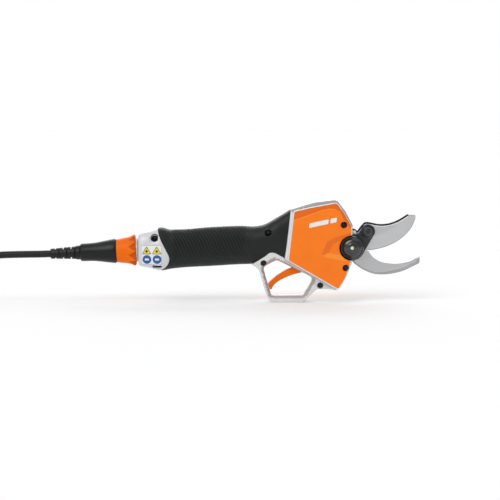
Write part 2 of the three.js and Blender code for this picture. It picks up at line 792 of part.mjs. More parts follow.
// The link joins the nut's left trunnion to the pin in the blade's tail.
function driveLink() {
  const y = [LINK.near, LINK.far];
  const ends = { near: { x: NUT_POINT.x, z: NUT_POINT.z }, far: LEVER_POINT };
  return cut(
    plate(bar(ends.near, ends.far, LINK.half), y, { segments: 8 }),
    crossHole(NUT.trunnion + GAP, ends.near, 20),
    crossHole(LEVER_PIN + LINK.clearance, ends.far, 20),
  );
}

// ------------------------------------------------------------------ trigger
function trigger() {
  const y = [-TRIGGER_HALF, TRIGGER_HALF];
  const finger = outline([[73.6, 38], [73.6, 45.6, 1], [79.6, 45.6, 1], [82.6, 38]]);
  const hub = crossRod(5, ...y, TRIGGER_PIVOT, 20);
  const magnetSeat = box([74.6, -3.2, 43.2], [78.6, 3.2, 50]);
  const blank = join(plate(TRIGGER, y), hub, plate(finger, y));
  return cut(blank, crossHole(2.3, TRIGGER_PIVOT, 16), magnetSeat);
}

// A coil of wire round the trigger's pin with its two legs cut short.
function triggerSpring() {
  const [turns, radius, wire, steps] = [3, 3.7, 0.45, 36];
  const points = Array.from({ length: steps + 1 }, (_, i) => {
    const angle = (i / steps) * turns * 2 * Math.PI;
    return new THREE.Vector3(radius * Math.cos(angle), 7.1 + (i / steps) * 2.6, radius * Math.sin(angle));
  });
  return tubeAlong(points, wire, steps, 3);
}

// A round bar along a smooth curve through points.
function tubeAlong(points, radius, steps, curveSegments) {
  const extrudePath = new THREE.CatmullRomCurve3(points);
  const section = new THREE.Shape().absarc(0, 0, radius, 0, 2 * Math.PI, false);
  const options = { extrudePath, steps, curveSegments, bevelEnabled: false };
  return solid(new THREE.ExtrudeGeometry(section, options));
}

// ------------------------------------------------------------------ cord end
// The coupling nut: a cone with ten finger grooves in its wide end.
function couplingNut() {
  const profile = [
    [-24.4, 8.1],
    [-24.4, 12.4],
    [-19, 13.7],
    [-12, 14.8],
    [-7, 16.4],
    [-4.6, 17.4],
    [-3.2, 15.8],
    [-3.2, 10.8],
    [-18.6, 10.8],
    [-18.6, 8.1],
    [-24.4, 8.1],
  ];
  const body = turned(profile, "x", [0, 0, 0], 30);
  const grooves = Array.from({ length: 10 }, (_, i) => {
    const { x: y, z } = polar({ x: 0, z: 0 }, 19.2, 36 * i + 18);
    return rod(3.6, -12, 0, "x", [0, y, z], 8);
  });
  return cut(body, ...grooves);
}

function plugBody() {
  const body = turned([
    [-64.8, 4.4],
    [-64.8, 8.2],
    [-63.6, 9.6],
    [-46, 10.2],
    [-38, 11.8],
    [-30, 13.1],
    [-26.4, 13.3],
    [-24.7, 12.6],
    [-24.7, 7.7],
    [-5, 7.7],
    [-5, 0],
    [-58, 0],
    [-58, 4.4],
    [-64.8, 4.4],
  ]);
  return cut(body, ...PINS.map((at) => rod(1.5, -17, 0, "x", at, 8)));
}

// The strain relief: a tapered sleeve, its slots cut from alternate sides.
function strainRelief() {
  const sleeve = turned([
    [CORD_EXIT, 0],
    [CORD_EXIT, 5.6],
    [-80, 6.4],
    [-70, 7.2],
    [-68, 7.7],
    [-65.1, 7.7],
    [-65.1, 4.1],
    [-59, 4.1],
    [-59, 0],
  ]);
  const slots = Array.from({ length: 6 }, (_, i) => {
    const s = CORD_EXIT + 4.6 + 4.3 * i;
    const [low, high] = i % 2 === 0 ? [3, 9] : [-9, -3];
    return box([s, -9, low], [s + 1.5, 9, high]);
  });
  return cut(sleeve, ...slots);
}

// The cord's route where it isn't coiled: level out of the strain relief, then down to the hank on the floor.
const EXIT = axisPoint(CORD_EXIT);
const FLOOR = CORD / 2;
const CORD_ROUTE = [
  [EXIT.x - GAP, 0, EXIT.z],
  [-215, 0, 52.4],
  [-230, 0, 52.2],
  [-245, 0, 51.9],
  [-259, 0, 51.2],
  [-270, -0.8, 49],
  [-281, -2.8, 44.4],
  [-291.5, -6.2, 37.6],
  [-301.5, -11, 29.2],
  [-311.5, -16.4, 20.6],
  [-322, -21.9, 12.9],
  [-332, -27.2, 7],
  [-340, -30.2, 4.4],
  [HANK.fold + 24 + GAP, -HANK.turn, FLOOR],
  [HANK.fold + 22 + GAP, -HANK.turn, FLOOR],
];

const cordTube = () =>
  tubeAlong(CORD_ROUTE.map((p) => new THREE.Vector3(...p)), CORD / 2, 26, 5);

// The folded cord: two rows of turns in two layers, or three where the last turn crosses the others at the near
// fold, with a pocket for the plug and a groove for the tie.
const HANK_HALF = HANK.turn + CORD / 2;
const HANK_TALL = HANK.layers * CORD;
const NEAR_TALL = HANK.nearLayers * CORD;
const TIE = { x: HANK.fold - 26, half: 8, thick: 1.4 };

function cordHank() {
  const far = HANK.fold - HANK.run;
  const stadium = bar({ x: far, z: 0 }, { x: HANK.fold, z: 0 }, HANK_HALF);
  const leadIn = outline([
    [HANK.fold - HANK.run / 2, -HANK_HALF],
    [HANK.fold + 22, -HANK_HALF],
    [HANK.fold + 22, -HANK_HALF + CORD],
    [HANK.fold - HANK.run / 2, -HANK_HALF + CORD],
  ]);
  const [pocketFar, pocketNear] = [far - 19.3, HANK.fold - 48];
  const pocket = outline([
    [pocketFar, -HANK.pocket, 8],
    [pocketFar, HANK.pocket, 8],
    [pocketNear, HANK.pocket, 4],
    [pocketNear, -HANK.pocket, 4],
  ]);
  const layer = (shape, depth) =>
    solid(new THREE.ExtrudeGeometry(shape, { depth, bevelEnabled: false, curveSegments: 8 }));
  const groove = cut(
    box([TIE.x - TIE.half - GAP, -50, -1], [TIE.x + TIE.half + GAP, 50, 30]),
    insideTie(TIE.thick + GAP),
  );
  const nearEnd = box([HANK.fold - HANK.near, -HANK_HALF, 0], [HANK.fold + 50, HANK_HALF, NEAR_TALL]);
  const raised = layer(stadium, NEAR_TALL).intersect(nearEnd);
  const turns = join(layer(stadium, HANK_TALL), raised, layer(leadIn, CORD));
  return cut(turns, layer(pocket, 40).translate([0, 0, -2]), groove);
}

// The room inside the tie, its walls `wall` thick.
function insideTie(wall) {
  return box([TIE.x - 20, -HANK_HALF + wall, wall], [TIE.x + 20, HANK_HALF - wall, NEAR_TALL - wall]);
}

function cordTie() {
  const blank = box([TIE.x - TIE.half, -HANK_HALF, 0], [TIE.x + TIE.half, HANK_HALF, NEAR_TALL]);
  return cut(blank, insideTie(TIE.thick));
}

// The battery's plug lies in the hank's pocket, its nose pointing away from the tool.
const PLUG_R = 12.4;
const PLUG_AT = [HANK.fold - 48.4, 0, PLUG_R];

function batteryPlug() {
  const profile = [
    [-18, 8.4],
    [-20, 10.6],
    [-34, PLUG_R],
    [-50, PLUG_R],
    [-52, 10.4],
    [-56, 10.4],
    [-56, 8.6],
    [-60, 8.6],
  ];
  const contacts = PINS.map(([, y, z]) => rod(1.5, -62, -48, "x", [PLUG_AT[0], y, PLUG_R + z], 8));
  return cut(spun(profile, "x", 24, PLUG_AT), ...contacts);
}

function batteryRelief() {
  return spun([[0, 5.4], [-12, 6.6], [-14, 7.6], [-17.7, 7.6]], "x", 20, PLUG_AT);
}

// ------------------------------------------------------------------ the assembly
const pruner = new THREE.Group();
pruner.name = "electric_pruner";
const drive = new THREE.Group(); // everything on the tool's axis
drive.position.set(REAR.x, 0, REAR.z);
drive.rotation.y = -TILT;
pruner.add(drive);

function place(parent, name, shape, material, { x = 0, y = 0, z = 0 } = {}) {
  const mesh = new THREE.Mesh(geometryOf(shape), material);
  mesh.name = name;
  mesh.position.set(x, y, z);
  parent.add(mesh);
}

const shell = housing();
const softSkin = grip();
for (const side of ["right", "left"]) {
  place(pruner, `housing_${side}`, shell.intersect(halfSpace(side)), SILVER);
  place(pruner, `grip_${side}`, softSkin.intersect(halfSpace(side)), SOFT);
  place(pruner, `cover_${side}`, cover(side), ORANGE);
}
place(pruner, "trigger_guard", guard(), SILVER);
for (const [name, screw] of Object.entries(SCREWS))
  place(pruner, `screw_${name}`, housingScrew(screw), DARK_STEEL, screw);

place(drive, "tool_socket", toolSocket(), BLACK);
PINS.forEach((at, i) => place(drive, `contact_pin_${i + 1}`, rod(1.1, -14, 14, "x", at, 8), BRASS));
place(drive, "control_board", box([17, -11.5, -6.6], [54, 11.5, -5]), BOARD);
place(drive, "bulk_capacitor", rod(5.2, 22, 42, "x", [0, 0, 1], 20), BLACK);

place(drive, "motor_can", tube(MOTOR.r, 12.2, MOTOR.from, MOTOR.to, "x", [0, 0, 0], 28), STEEL);
place(drive, "motor_stator", tube(11.9, 7.6, MOTOR.from + 8, MOTOR.to - 8, "x", [0, 0, 0], 24), COPPER);
place(drive, "motor_rotor", motorRotor(), DARK_STEEL);
place(drive, "sun_gear", sunGear(), STEEL);
place(drive, "ring_gear", ringGear(), STEEL);
PLANETS.forEach((angle, i) => place(drive, `planet_gear_${i + 1}`, planetGear(angle), STEEL));
place(drive, "planet_carrier", planetCarrier(), STEEL);
place(drive, "spindle_bearing", tube(BEARING.r, 4.5, BEARING.from, BEARING.to, "x"), STEEL);
place(drive, "spindle", spindle(), STEEL);
place(drive, "spindle_nut", spindleNut(), BRASS);
place(pruner, "drive_link", driveLink(), DARK_STEEL);
place(drive, "coupling_nut", couplingNut(), ORANGE);
place(drive, "plug_body", plugBody(), BLACK);
place(drive, "strain_relief", strainRelief(), BLACK);

place(pruner, "lever_pin", crossRod(LEVER_PIN, BLADE[0], LINK.far + 0.4, LEVER_POINT, 16), STEEL);
place(pruner, "cutting_blade", cuttingBlade(), STEEL);
place(pruner, "counter_blade", counterBlade(), STEEL);
place(pruner, "blade_arm", bladeArm(), BLACK);
place(pruner, "arm_screw", armScrew(), DARK_STEEL, ARM_BOSS);
place(pruner, "pivot_cap", pivotCap(), BLACK);
place(pruner, "grease_nipple", crossRod(2, -20.4, -12.6, PIVOT, 16), CREAM);
place(pruner, "pivot_bolt", pivotBolt(), STEEL, PIVOT);
place(pruner, "pivot_nut", pivotNut(), DARK_STEEL, PIVOT);
HOOK_SCREWS.forEach((screw, i) => place(pruner, `counter_screw_${i + 1}`, counterScrew(), DARK_STEEL, screw));

place(pruner, "trigger", trigger(), ORANGE);
place(pruner, "trigger_pin", crossRod(2, -9, 12, TRIGGER_PIVOT, 16), STEEL);
place(pruner, "trigger_spring", triggerSpring(), STEEL, TRIGGER_PIVOT);
place(pruner, "trigger_magnet", box([75, -2.8, 43.6], [78.2, 2.8, 45.4]), DARK_STEEL);
place(pruner, "sensor_board", box([64, -7, 48], [84, 7, 49.4]), BOARD);

place(pruner, "cord", cordTube(), BLACK);
place(pruner, "cord_hank", cordHank(), BLACK);
place(pruner, "cord_tie", cordTie(), SOFT);
place(pruner, "battery_plug", batteryPlug(), BLACK);
place(pruner, "battery_relief", batteryRelief(), BLACK);

export default pruner;
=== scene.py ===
import json
import math
import bmesh
import bpy
import numpy as np
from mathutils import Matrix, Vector
from mathutils.geometry import delaunay_2d_cdt


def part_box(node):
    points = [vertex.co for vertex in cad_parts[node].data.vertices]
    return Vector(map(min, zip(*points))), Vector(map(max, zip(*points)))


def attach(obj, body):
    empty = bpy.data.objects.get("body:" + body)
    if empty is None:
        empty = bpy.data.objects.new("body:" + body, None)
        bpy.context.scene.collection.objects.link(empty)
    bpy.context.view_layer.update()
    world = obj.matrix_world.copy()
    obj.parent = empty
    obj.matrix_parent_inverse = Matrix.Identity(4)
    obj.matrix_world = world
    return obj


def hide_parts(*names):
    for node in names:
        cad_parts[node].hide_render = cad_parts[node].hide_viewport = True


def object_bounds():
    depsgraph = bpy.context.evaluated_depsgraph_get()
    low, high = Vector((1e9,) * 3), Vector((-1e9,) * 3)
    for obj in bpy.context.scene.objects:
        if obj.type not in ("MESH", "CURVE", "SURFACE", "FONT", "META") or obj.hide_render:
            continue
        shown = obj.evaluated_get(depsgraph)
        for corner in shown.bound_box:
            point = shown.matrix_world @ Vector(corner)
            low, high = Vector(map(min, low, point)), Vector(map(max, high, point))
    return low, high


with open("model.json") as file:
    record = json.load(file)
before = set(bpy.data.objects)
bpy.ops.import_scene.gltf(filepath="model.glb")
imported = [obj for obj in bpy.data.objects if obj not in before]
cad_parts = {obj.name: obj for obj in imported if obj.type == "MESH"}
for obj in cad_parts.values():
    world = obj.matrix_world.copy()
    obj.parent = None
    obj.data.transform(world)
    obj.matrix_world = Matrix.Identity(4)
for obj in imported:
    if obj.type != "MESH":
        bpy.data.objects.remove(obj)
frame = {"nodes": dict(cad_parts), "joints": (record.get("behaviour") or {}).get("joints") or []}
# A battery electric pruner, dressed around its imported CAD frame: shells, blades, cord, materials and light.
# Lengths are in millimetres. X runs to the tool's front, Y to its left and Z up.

CAD_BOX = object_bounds()
MM = 0.001

# ---------------------------------------------------------------- places, from the frame
JOINTS = {joint["name"]: joint for joint in frame["joints"]}
MOTOR_PLACE = 90  # how far along the axis the motor's joint lies from the rear face
RELIEF_END = -97.1  # where the strain relief ends along the axis
THROUGH = (-20, 20)  # from right to left through every blade and lever


def centre_mm(node):
    low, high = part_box(node)
    return (low + high) / 2 / MM


def low_mm(node):
    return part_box(node)[0] / MM


def high_mm(node):
    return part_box(node)[1] / MM


def sides_mm(node):
    """A node's right and left side."""
    return low_mm(node).y, high_mm(node).y


PIVOT = Vector(JOINTS["blade_swing"]["pos_m"]) / MM
TRIGGER_PIVOT = Vector(JOINTS["trigger_pull"]["pos_m"]) / MM
TOOL_AXIS = Vector(JOINTS["rotor_spin"]["axis"]).normalized()
# The axis at the housing's rear face
REAR = Vector(JOINTS["rotor_spin"]["pos_m"]) / MM - MOTOR_PLACE * TOOL_AXIS
UP_FROM_AXIS = Vector((-TOOL_AXIS.z, 0, TOOL_AXIS.x))
SCREWS = {name: centre_mm(f"screw_{name}") for name in
          ("rear_upper", "rear_lower", "grip_front", "guard_rear", "guard_front", "head_upper", "head_lower")}


def on_axis(s, up=0.0):
    """A point over the tool's axis, s along it from the rear face."""
    return REAR + s * TOOL_AXIS + up * UP_FROM_AXIS


def add_object(name, data):
    made = bpy.data.objects.new(name, data)
    bpy.context.scene.collection.objects.link(made)
    return made


# ---------------------------------------------------------------- camera
VIEW_CENTRE = Vector((16.3, 0, 56.9)) * MM
VIEW_WIDTH = 550 * MM
ELEVATION = math.radians(4)
LENS, SENSOR = 135, 36


def aim(made, towards):
    """Turns a camera or lamp to look back from the direction `towards`."""
    made.rotation_mode = "QUATERNION"
    made.rotation_quaternion = (-towards).to_track_quat("-Z", "Y")


def make_camera():
    data = bpy.data.cameras.new("camera")
    data.lens, data.sensor_width = LENS, SENSOR
    data.clip_start, data.clip_end = 0.05, 100
    camera = add_object("camera", data)
    back = Vector((0, -math.cos(ELEVATION), math.sin(ELEVATION)))
    camera.location = VIEW_CENTRE + back * (VIEW_WIDTH * LENS / SENSOR)
    aim(camera, back)
    bpy.context.scene.camera = camera


# ---------------------------------------------------------------- lines and loops in the side view
def power(value, exponent):
    """A power that keeps the value's sign."""
    return np.sign(value) * np.abs(value) ** exponent


def fade(value, low, high):
    """0 up to low, 1 from high, and smooth between them."""
    t = np.clip((value - low) / (high - low), 0, 1)
    return t * t * (3 - 2 * t)


def cut_corner(before, corner, after, reach, steps):
    """Points on a curve round a corner, from `reach` before it, but not from beyond 0.45 of either side."""
    back, on = before - corner, after - corner
    back_length, on_length = np.linalg.norm(back), np.linalg.norm(on)
    reach = min(reach, 0.45 * back_length, 0.45 * on_length)
    start, end = corner + back / back_length * reach, corner + on / on_length * reach
    return [(1 - t) ** 2 * start + 2 * t * (1 - t) * corner + t**2 * end
            for t in np.linspace(0, 1, steps + 1)]


def fillet(corners, steps=6):
    """A closed loop from corners (x, z) or (x, z, radius), rounded where they have a radius."""
    points = [np.array(c[:2], float) for c in corners]
    loop = []
    for i, corner in enumerate(points):
        if len(corners[i]) < 3:
            loop.append(corner)
            continue
        before, after = points[i - 1], points[(i + 1) % len(points)]
        back, on = before - corner, after - corner
        cosine = np.dot(back, on) / np.linalg.norm(back) / np.linalg.norm(on)
        half = math.acos(max(-1, min(1, cosine))) / 2
        loop += cut_corner(before, corner, after, corners[i][2] / math.tan(half), steps)
    return np.array(loop)


def softened(profile, radius, steps):
    """An open profile with its corners rounded by at most `radius`."""
    points = [np.array(p, float) for p in profile]
    made = [points[0]]
    for before, corner, after in zip(points, points[1:], points[2:]):
        made += cut_corner(before, corner, after, radius, steps)
    return made + [points[-1]]


def rounded_box(low, high, radius):
    (x0, z0), (x1, z1) = low, high
    return fillet([(x0, z0, radius), (x0, z1, radius), (x1, z1, radius), (x1, z0, radius)], 4)


def catmull(points, spacing):
    """Points on a smooth curve through some points, about `spacing` apart."""
    line = [points[0]]
    for i in range(len(points) - 1):
        p0, p1, p2, p3 = points[max(i - 1, 0)], points[i], points[i + 1], points[min(i + 2, len(points) - 1)]
        count = max(1, round((p2 - p1).length / spacing))
        for k in range(1, count + 1):
            t = k / count
            line.append(0.5 * (2 * p1 + (p2 - p0) * t + (2 * p0 - 5 * p1 + 4 * p2 - p3) * t**2
                               + (3 * p1 - p0 - 3 * p2 + p3) * t**3))
    return line


def through(points, spacing=1.0):
    """An open line on a smooth curve through points (x, z)."""
    return [(p.x, p.z) for p in catmull([Vector((x, 0, z)) for x, z in points], spacing)]


def straight_lines(points, step):
    """Points along straight lines between corners."""
    line = []
    for a, b in zip(points, points[1:]):
        count = max(1, round(np.linalg.norm(b - a) / step))
        line += [a + (b - a) * k / count for k in range(count)]
    return line + [points[-1]]


def circle(place, radius, sides=48):
    angles = np.linspace(0, 2 * math.pi, sides, endpoint=False)
    return np.stack([place.x + radius * np.cos(angles), place.z + radius * np.sin(angles)], axis=1)


def arc_points(centre, radius, start, end, step=6):
    """Points on an arc between two angles in degrees."""
    count = max(3, round(abs(end - start) / step))
    angles = np.radians(np.linspace(start, end, count + 1))
    return [(centre.x + radius * math.cos(a), centre.z + radius * math.sin(a)) for a in angles]


def dense(loop, spacing):
    """A closed loop with no side longer than `spacing`, its corners kept."""
    made = []
    for a, b in zip(loop, np.roll(loop, -1, axis=0)):
        length = np.linalg.norm(b - a)
        if length < 1e-6:
            continue
        count = max(1, math.ceil(length / spacing))
        made += [a + (b - a) * i / count for i in range(count)]
    return np.array(made)


def inset(loop, distance):
    """A loop moved towards its inside, or outside if distance is negative, along its corners' normals."""
    after = np.roll(loop, -1, axis=0)
    turn = np.sign(np.sum(loop[:, 0] * after[:, 1] - after[:, 0] * loop[:, 1]))
    edge = after - loop
    edge /= np.linalg.norm(edge, axis=1)[:, None]
    normal = np.stack([-edge[:, 1], edge[:, 0]], axis=1) * turn
    before = np.roll(normal, 1, axis=0)
    share = 1 + np.sum(before * normal, axis=1)
    return loop + (before + normal) * (distance / np.maximum(share, 0.35))[:, None]


def distance_open(points, line):
    """The distance of each point from an open line."""
    best = np.full(len(points), 1e9)
    for a, b in zip(line[:-1], line[1:]):
        side = b - a
        t = np.clip(((points - a) @ side) / max(side @ side, 1e-12), 0, 1)
        best = np.minimum(best, np.linalg.norm(points - a - t[:, None] * side, axis=1))
    return best


def distance_to(points, loops):
    """The distance of each point from the nearest side of some closed loops."""
    return np.min([distance_open(points, np.concatenate([loop, loop[:1]])) for loop in loops], axis=0)


def contains(points, loop):
    """Which points lie inside a closed loop."""
    inside = np.zeros(len(points), bool)
    for (ax, az), (bx, bz) in zip(loop, np.roll(loop, -1, axis=0)):
        crosses = (az > points[:, 1]) != (bz > points[:, 1])
        with np.errstate(divide="ignore", invalid="ignore"):
            at = (bx - ax) * (points[:, 1] - az) / (bz - az) + ax
        inside ^= crosses & (points[:, 0] < at)
    return inside


def longest(line, kept):
    """The longest stretch of a line whose points are all kept."""
    best, run = [], []
    for point, keep in zip(line, kept):
        run = run + [point] if keep else []
        best = run if len(run) > len(best) else best
    return np.array(best)


def bitten(loop, place, radius):
    """A loop with a round bite out of it."""
    centre = np.array((place.x, place.z))
    loop = dense(loop, 0.8)
    outside = np.hypot(*(loop - centre).T) > radius
    first = next(i for i in range(len(loop)) if outside[i] and not outside[i - 1])
    kept = np.roll(loop, -first, axis=0)[np.roll(outside, -first)]
    a0, a1 = (math.atan2(*(end - centre)[::-1]) for end in (kept[-1], kept[0]))
    sweep = (a1 - a0) % (2 * math.pi)
    middle = centre + radius * np.array((math.cos(a0 + sweep / 2), math.sin(a0 + sweep / 2)))
    if not contains(middle[None], loop)[0]:
        sweep -= 2 * math.pi
    angles = a0 + sweep * np.linspace(0, 1, 40)
    return np.concatenate([kept, centre + radius * np.stack([np.cos(angles), np.sin(angles)], axis=1)])


# ---------------------------------------------------------------- solids
RIM_ROWS = (0.1, 0.35, 0.68, 1.0)  # where rows of points follow a rounded rim, as shares of its width
TRIANGLE = 0.866  # the height of a triangle with sides of 1


def shade(mesh, sharp):
    """Smooth faces, apart from edges that bend more than `sharp` degrees."""
    mesh.polygons.foreach_set("use_smooth", [True] * len(mesh.polygons))
    mesh.set_sharp_from_angle(angle=math.radians(sharp))


def piece(name, verts, faces, materials, body, stands_for=(), slot=None, sharp=32, face_material=None):
    """A closed mesh whose normals point out, riding on a CAD body."""
    mesh = bpy.data.meshes.new(name)
    mesh.from_pydata([Vector(v) * MM for v in verts], [], faces)
    for material in materials if isinstance(materials, list) else [materials]:
        mesh.materials.append(material)
    if face_material is not None:
        mesh.polygons.foreach_set("material_index", face_material)
    cleaned = bmesh.new()
    cleaned.from_mesh(mesh)
    bmesh.ops.remove_doubles(cleaned, verts=cleaned.verts, dist=1e-6)
    bmesh.ops.dissolve_degenerate(cleaned, edges=cleaned.edges, dist=1e-7)
    bmesh.ops.recalc_face_normals(cleaned, faces=cleaned.faces)
    cleaned.to_mesh(mesh)
    cleaned.free()
    shade(mesh, sharp)
    made = add_object(name, mesh)
    if body:
        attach(made, body)
    if stands_for:
        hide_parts(*stands_for)
    return made


def carve(target, *tools, union=False, sharp=32):
    """Cuts tool solids out of a piece, or joins them to it, and removes the tools."""
    for tool in tools:
        modifier = target.modifiers.new("carve", "BOOLEAN")
        modifier.operation = "UNION" if union else "DIFFERENCE"
        modifier.solver = "EXACT"
        modifier.object = tool
        bpy.context.view_layer.update()
        made = bpy.data.meshes.new_from_object(target.evaluated_get(bpy.context.evaluated_depsgraph_get()))
        target.modifiers.clear()
        target.data = made
        bpy.data.objects.remove(tool)
    shade(target.data, sharp)
    return target


def hexagons(loop, spacing):
    """A hexagonal grid of points over a loop's box."""
    (x0, z0), (x1, z1) = loop.min(0), loop.max(0)
    points = []
    for i, z in enumerate(np.arange(z0, z1 + spacing, spacing * TRIANGLE)):
        xs = np.arange(x0 + (i % 2) * spacing / 2, x1 + spacing, spacing)
        points.append(np.stack([xs, np.full(len(xs), z)], axis=1))
    return np.concatenate(points)


def flat_mesh(border, holes, spacing, rim, creases=(), grid=None):
    """Triangles of a flat region, with rows of points along its rim and lines, and a grid in the rest.
    It returns the points, the triangles and each point's distance from the border."""
    loops = [border, *holes]
    rows = []
    for share in RIM_ROWS if rim else ():
        for loop in loops:
            row = inset(loop, (1 if loop is border else -1) * share * rim)
            rows.append(row[distance_to(row, loops) > 0.93 * share * rim])
    filled = hexagons(border, spacing) if grid is None else grid
    filled = filled[contains(filled, border)]
    for hole in holes:
        filled = filled[~contains(filled, hole)]
    filled = filled[distance_to(filled, loops) > rim + 0.35 * spacing]
    for crease in creases:
        filled = filled[distance_open(filled, crease) > 0.4 * spacing]
    rows.append(filled)
    edges, start = [], 0
    for loop in loops:
        edges += [(start + i, start + (i + 1) % len(loop)) for i in range(len(loop))]
        start += len(loop)
    start += sum(len(row) for row in rows)
    for crease in creases:
        edges += [(start + i, start + i + 1) for i in range(len(crease) - 1)]
        start += len(crease)
    points = np.concatenate([*loops, *rows, *creases])
    found = delaunay_2d_cdt([Vector(p) for p in points], edges, [], 0, 1e-5)
    flat, triangles = np.array([tuple(v) for v in found[0]]), np.array(found[2])
    middles = flat[triangles].mean(1)
    keep = contains(middles, border)
    for hole in holes:
        keep &= ~contains(middles, hole)
    return flat, triangles[keep], distance_to(flat, loops)


def drop(distance, radius):
    """How far a rounded rim falls away, at a distance from its border."""
    if not radius:
        return np.zeros_like(distance)
    gone = radius - np.minimum(distance, radius)
    return radius - np.sqrt(np.maximum(radius**2 - gone**2, 0))


def solid_of(flat, triangles, front, back):
    """Vertices and faces of a closed solid between two surfaces over the same flat triangles."""
    n = len(flat)
    faces = [tuple(t) for t in triangles] + [tuple(n + t[::-1]) for t in triangles]
    sides = np.concatenate([triangles[:, [0, 1]], triangles[:, [1, 2]], triangles[:, [2, 0]]])
    known = {(a, b) for a, b in map(tuple, sides)}
    faces += [(b, a, n + a, n + b) for a, b in known if (b, a) not in known]
    return np.concatenate([front, back]), faces


def plate(name, border, y, materials, body, holes=(), rim=0.8, spacing=3.0, edge=1.2, front=None, back=None,
          creases=(), back_rim=None, paint=None, **extra):
    """A flat solid in X and Z from y[0] (its right) to y[1], with points `edge` apart along its border.
    front and back take points and return how far that face sinks. paint takes the faces' middles and returns
    their materials."""
    border = dense(np.array(border, float), edge)
    holes = [dense(np.array(hole, float), edge) for hole in holes]
    back_rim = rim if back_rim is None else back_rim
    flat, triangles, distance = flat_mesh(border, holes, spacing, max(rim, back_rim),
                                          [np.array(c) for c in creases])
    right = y[0] + drop(distance, rim) + (front(flat) if front else 0.0)
    left = y[1] - drop(distance, back_rim) - (back(flat) if back else 0.0)
    surfaces = [np.stack([flat[:, 0], side, flat[:, 1]], axis=1) for side in (right, left)]
    verts, faces = solid_of(flat, triangles, *surfaces)
    if paint:
        middles = np.array([np.mean([verts[i] for i in face], axis=0) for face in faces])
        extra["face_material"] = [int(v) for v in paint(middles)]
    return piece(name, verts, faces, materials, body, **extra)


def one_side(side, outer, inner, rim, inner_rim, face=None):
    """A plate's arguments for the tool's right (side -1) or left, the same for both but mirrored."""
    if side < 0:
        return {"y": (-outer, -inner), "rim": rim, "back_rim": inner_rim, "front": face}
    return {"y": (inner, outer), "rim": inner_rim, "back_rim": rim, "back": face}


def cutter(border, y):
    """A plain plate to carve with."""
    return plate("cutter", border, y, [], None, rim=0, spacing=40, edge=40)


def rod(radius, y, place, sides=40):
    """A round bar to carve with."""
    return cutter(circle(place, radius, sides), y)


GROOVE_SHADE_DEPTH = 0.45  # a turned solid's second material, painted shade in its grooves, starts at this depth
RIGHT, LEFT, AHEAD = (0, -1, 0), (0, 1, 0), (1, 0, 0)


def turned(name, profile, materials, body, origin, axis=RIGHT, across=AHEAD, sides=96, modulate=None,
           **extra):
    """A turned solid. Its profile of (place along the axis, radius) is closed, or has both ends on the axis.
    modulate gives a ring's radii from its place, radius and angles. Where it cuts a groove, the second
    material is used as painted shade in the groove, if there is one."""
    profile = np.array(profile, float)
    angles = np.linspace(0, 2 * math.pi, sides, endpoint=False)
    origin, axis, across = (np.array(v, float) for v in (origin, axis, across))
    third = np.cross(axis, across)
    verts, groove_shade = [], []
    for s, radius in profile:
        r = modulate(s, radius, angles) if modulate else np.full(sides, radius)
        groove_shade.append(r < radius - GROOVE_SHADE_DEPTH)
        verts.append(origin + s * axis + np.outer(r * np.cos(angles), across)
                     + np.outer(r * np.sin(angles), third))
    if isinstance(materials, list):
        extra["face_material"] = np.array(groove_shade[:-1], int).ravel()
    faces = []
    for i in range(len(profile) - 1):
        for j in range(sides):
            k = (j + 1) % sides
            faces.append((i * sides + j, i * sides + k, (i + 1) * sides + k, (i + 1) * sides + j))
    return piece(name, np.concatenate(verts), faces, materials, body, **extra)


def axis_turned(name, profile, material, body, **extra):
    """A solid turned round the tool's axis."""
    return turned(name, profile, material, body, REAR, TOOL_AXIS, UP_FROM_AXIS, **extra)


def six_lobes(depth, low, high):
    """A six-lobed socket's modulation, for a profile's radii between low and high."""
    return lambda s, r, a: np.full_like(a, r) * (1 + (depth * np.cos(6 * a) if low < r < high else 0))


# ---------------------------------------------------------------- the cord
CORD = 7.8  # diameter
FLOOR_LINE = CORD / 2
LAYER = CORD + 0.1  # height from one layer of cord to the next
FOLD, RUN, TURN = -371, 92, 31.2  # the hank: its near fold, its runs' length, its outer fold's radius
ROWS = (TURN, TURN - CORD, TURN - CORD)  # how far from the middle each turn's runs lie
TIE_AT, TIE_HALF, TIE_THICK = FOLD - 26, 8, 1.4
TIE_REACH = 16  # the cord bends over the tie within this length on either side of it
PINCH = 1.5  # the tie draws the runs together by this
PLUG_BACK = Vector((FOLD - 48.4, 0, 12.4))  # the back of the battery plug's strain relief
RISE_FROM = 30  # a turn starts to climb this far before the near fold
FALL_FROM = 0.22  # and falls towards the plug from this share of its last stretch
STEP = 3.0


def cord_lead():
    """The cord from the strain relief down to the hank, its points as in the CAD part."""
    start = Vector((high_mm("cord").x, 0, on_axis(RELIEF_END).z))
    listed_points = [
        (-215, 0, 52.4), (-230, 0, 52.2), (-245, 0, 51.9), (-259, 0, 51.2), (-270, -0.8, 49),
        (-281, -2.8, 44.4), (-291.5, -6.2, 37.6), (-301.5, -11, 29.2), (-311.5, -16.4, 20.6),
        (-322, -21.9, 12.9), (-332, -27.2, 7), (-340, -30.2, 4.4), (-349, -TURN, FLOOR_LINE),
        (-358, -TURN, FLOOR_LINE),
    ]
    return [start] + [Vector(p) for p in listed_points]


def arc(centre, radius, start, end):
    """Points in plan on an arc, angles in degrees, without its first point."""
    count = max(6, round(abs(math.radians(end - start)) * radius / STEP))
    angles = [math.radians(start + (end - start) * (i + 1) / count) for i in range(count)]
    return [(centre[0] + radius * math.cos(a), centre[1] + radius * math.sin(a)) for a in angles]


def straight(x_from, x_to, y):
    """Points in plan on a straight run, without its first point."""
    count = round(abs(x_to - x_from) / (2 * STEP))
    return [(x_from + (x_to - x_from) * (i + 1) / count, y) for i in range(count)]


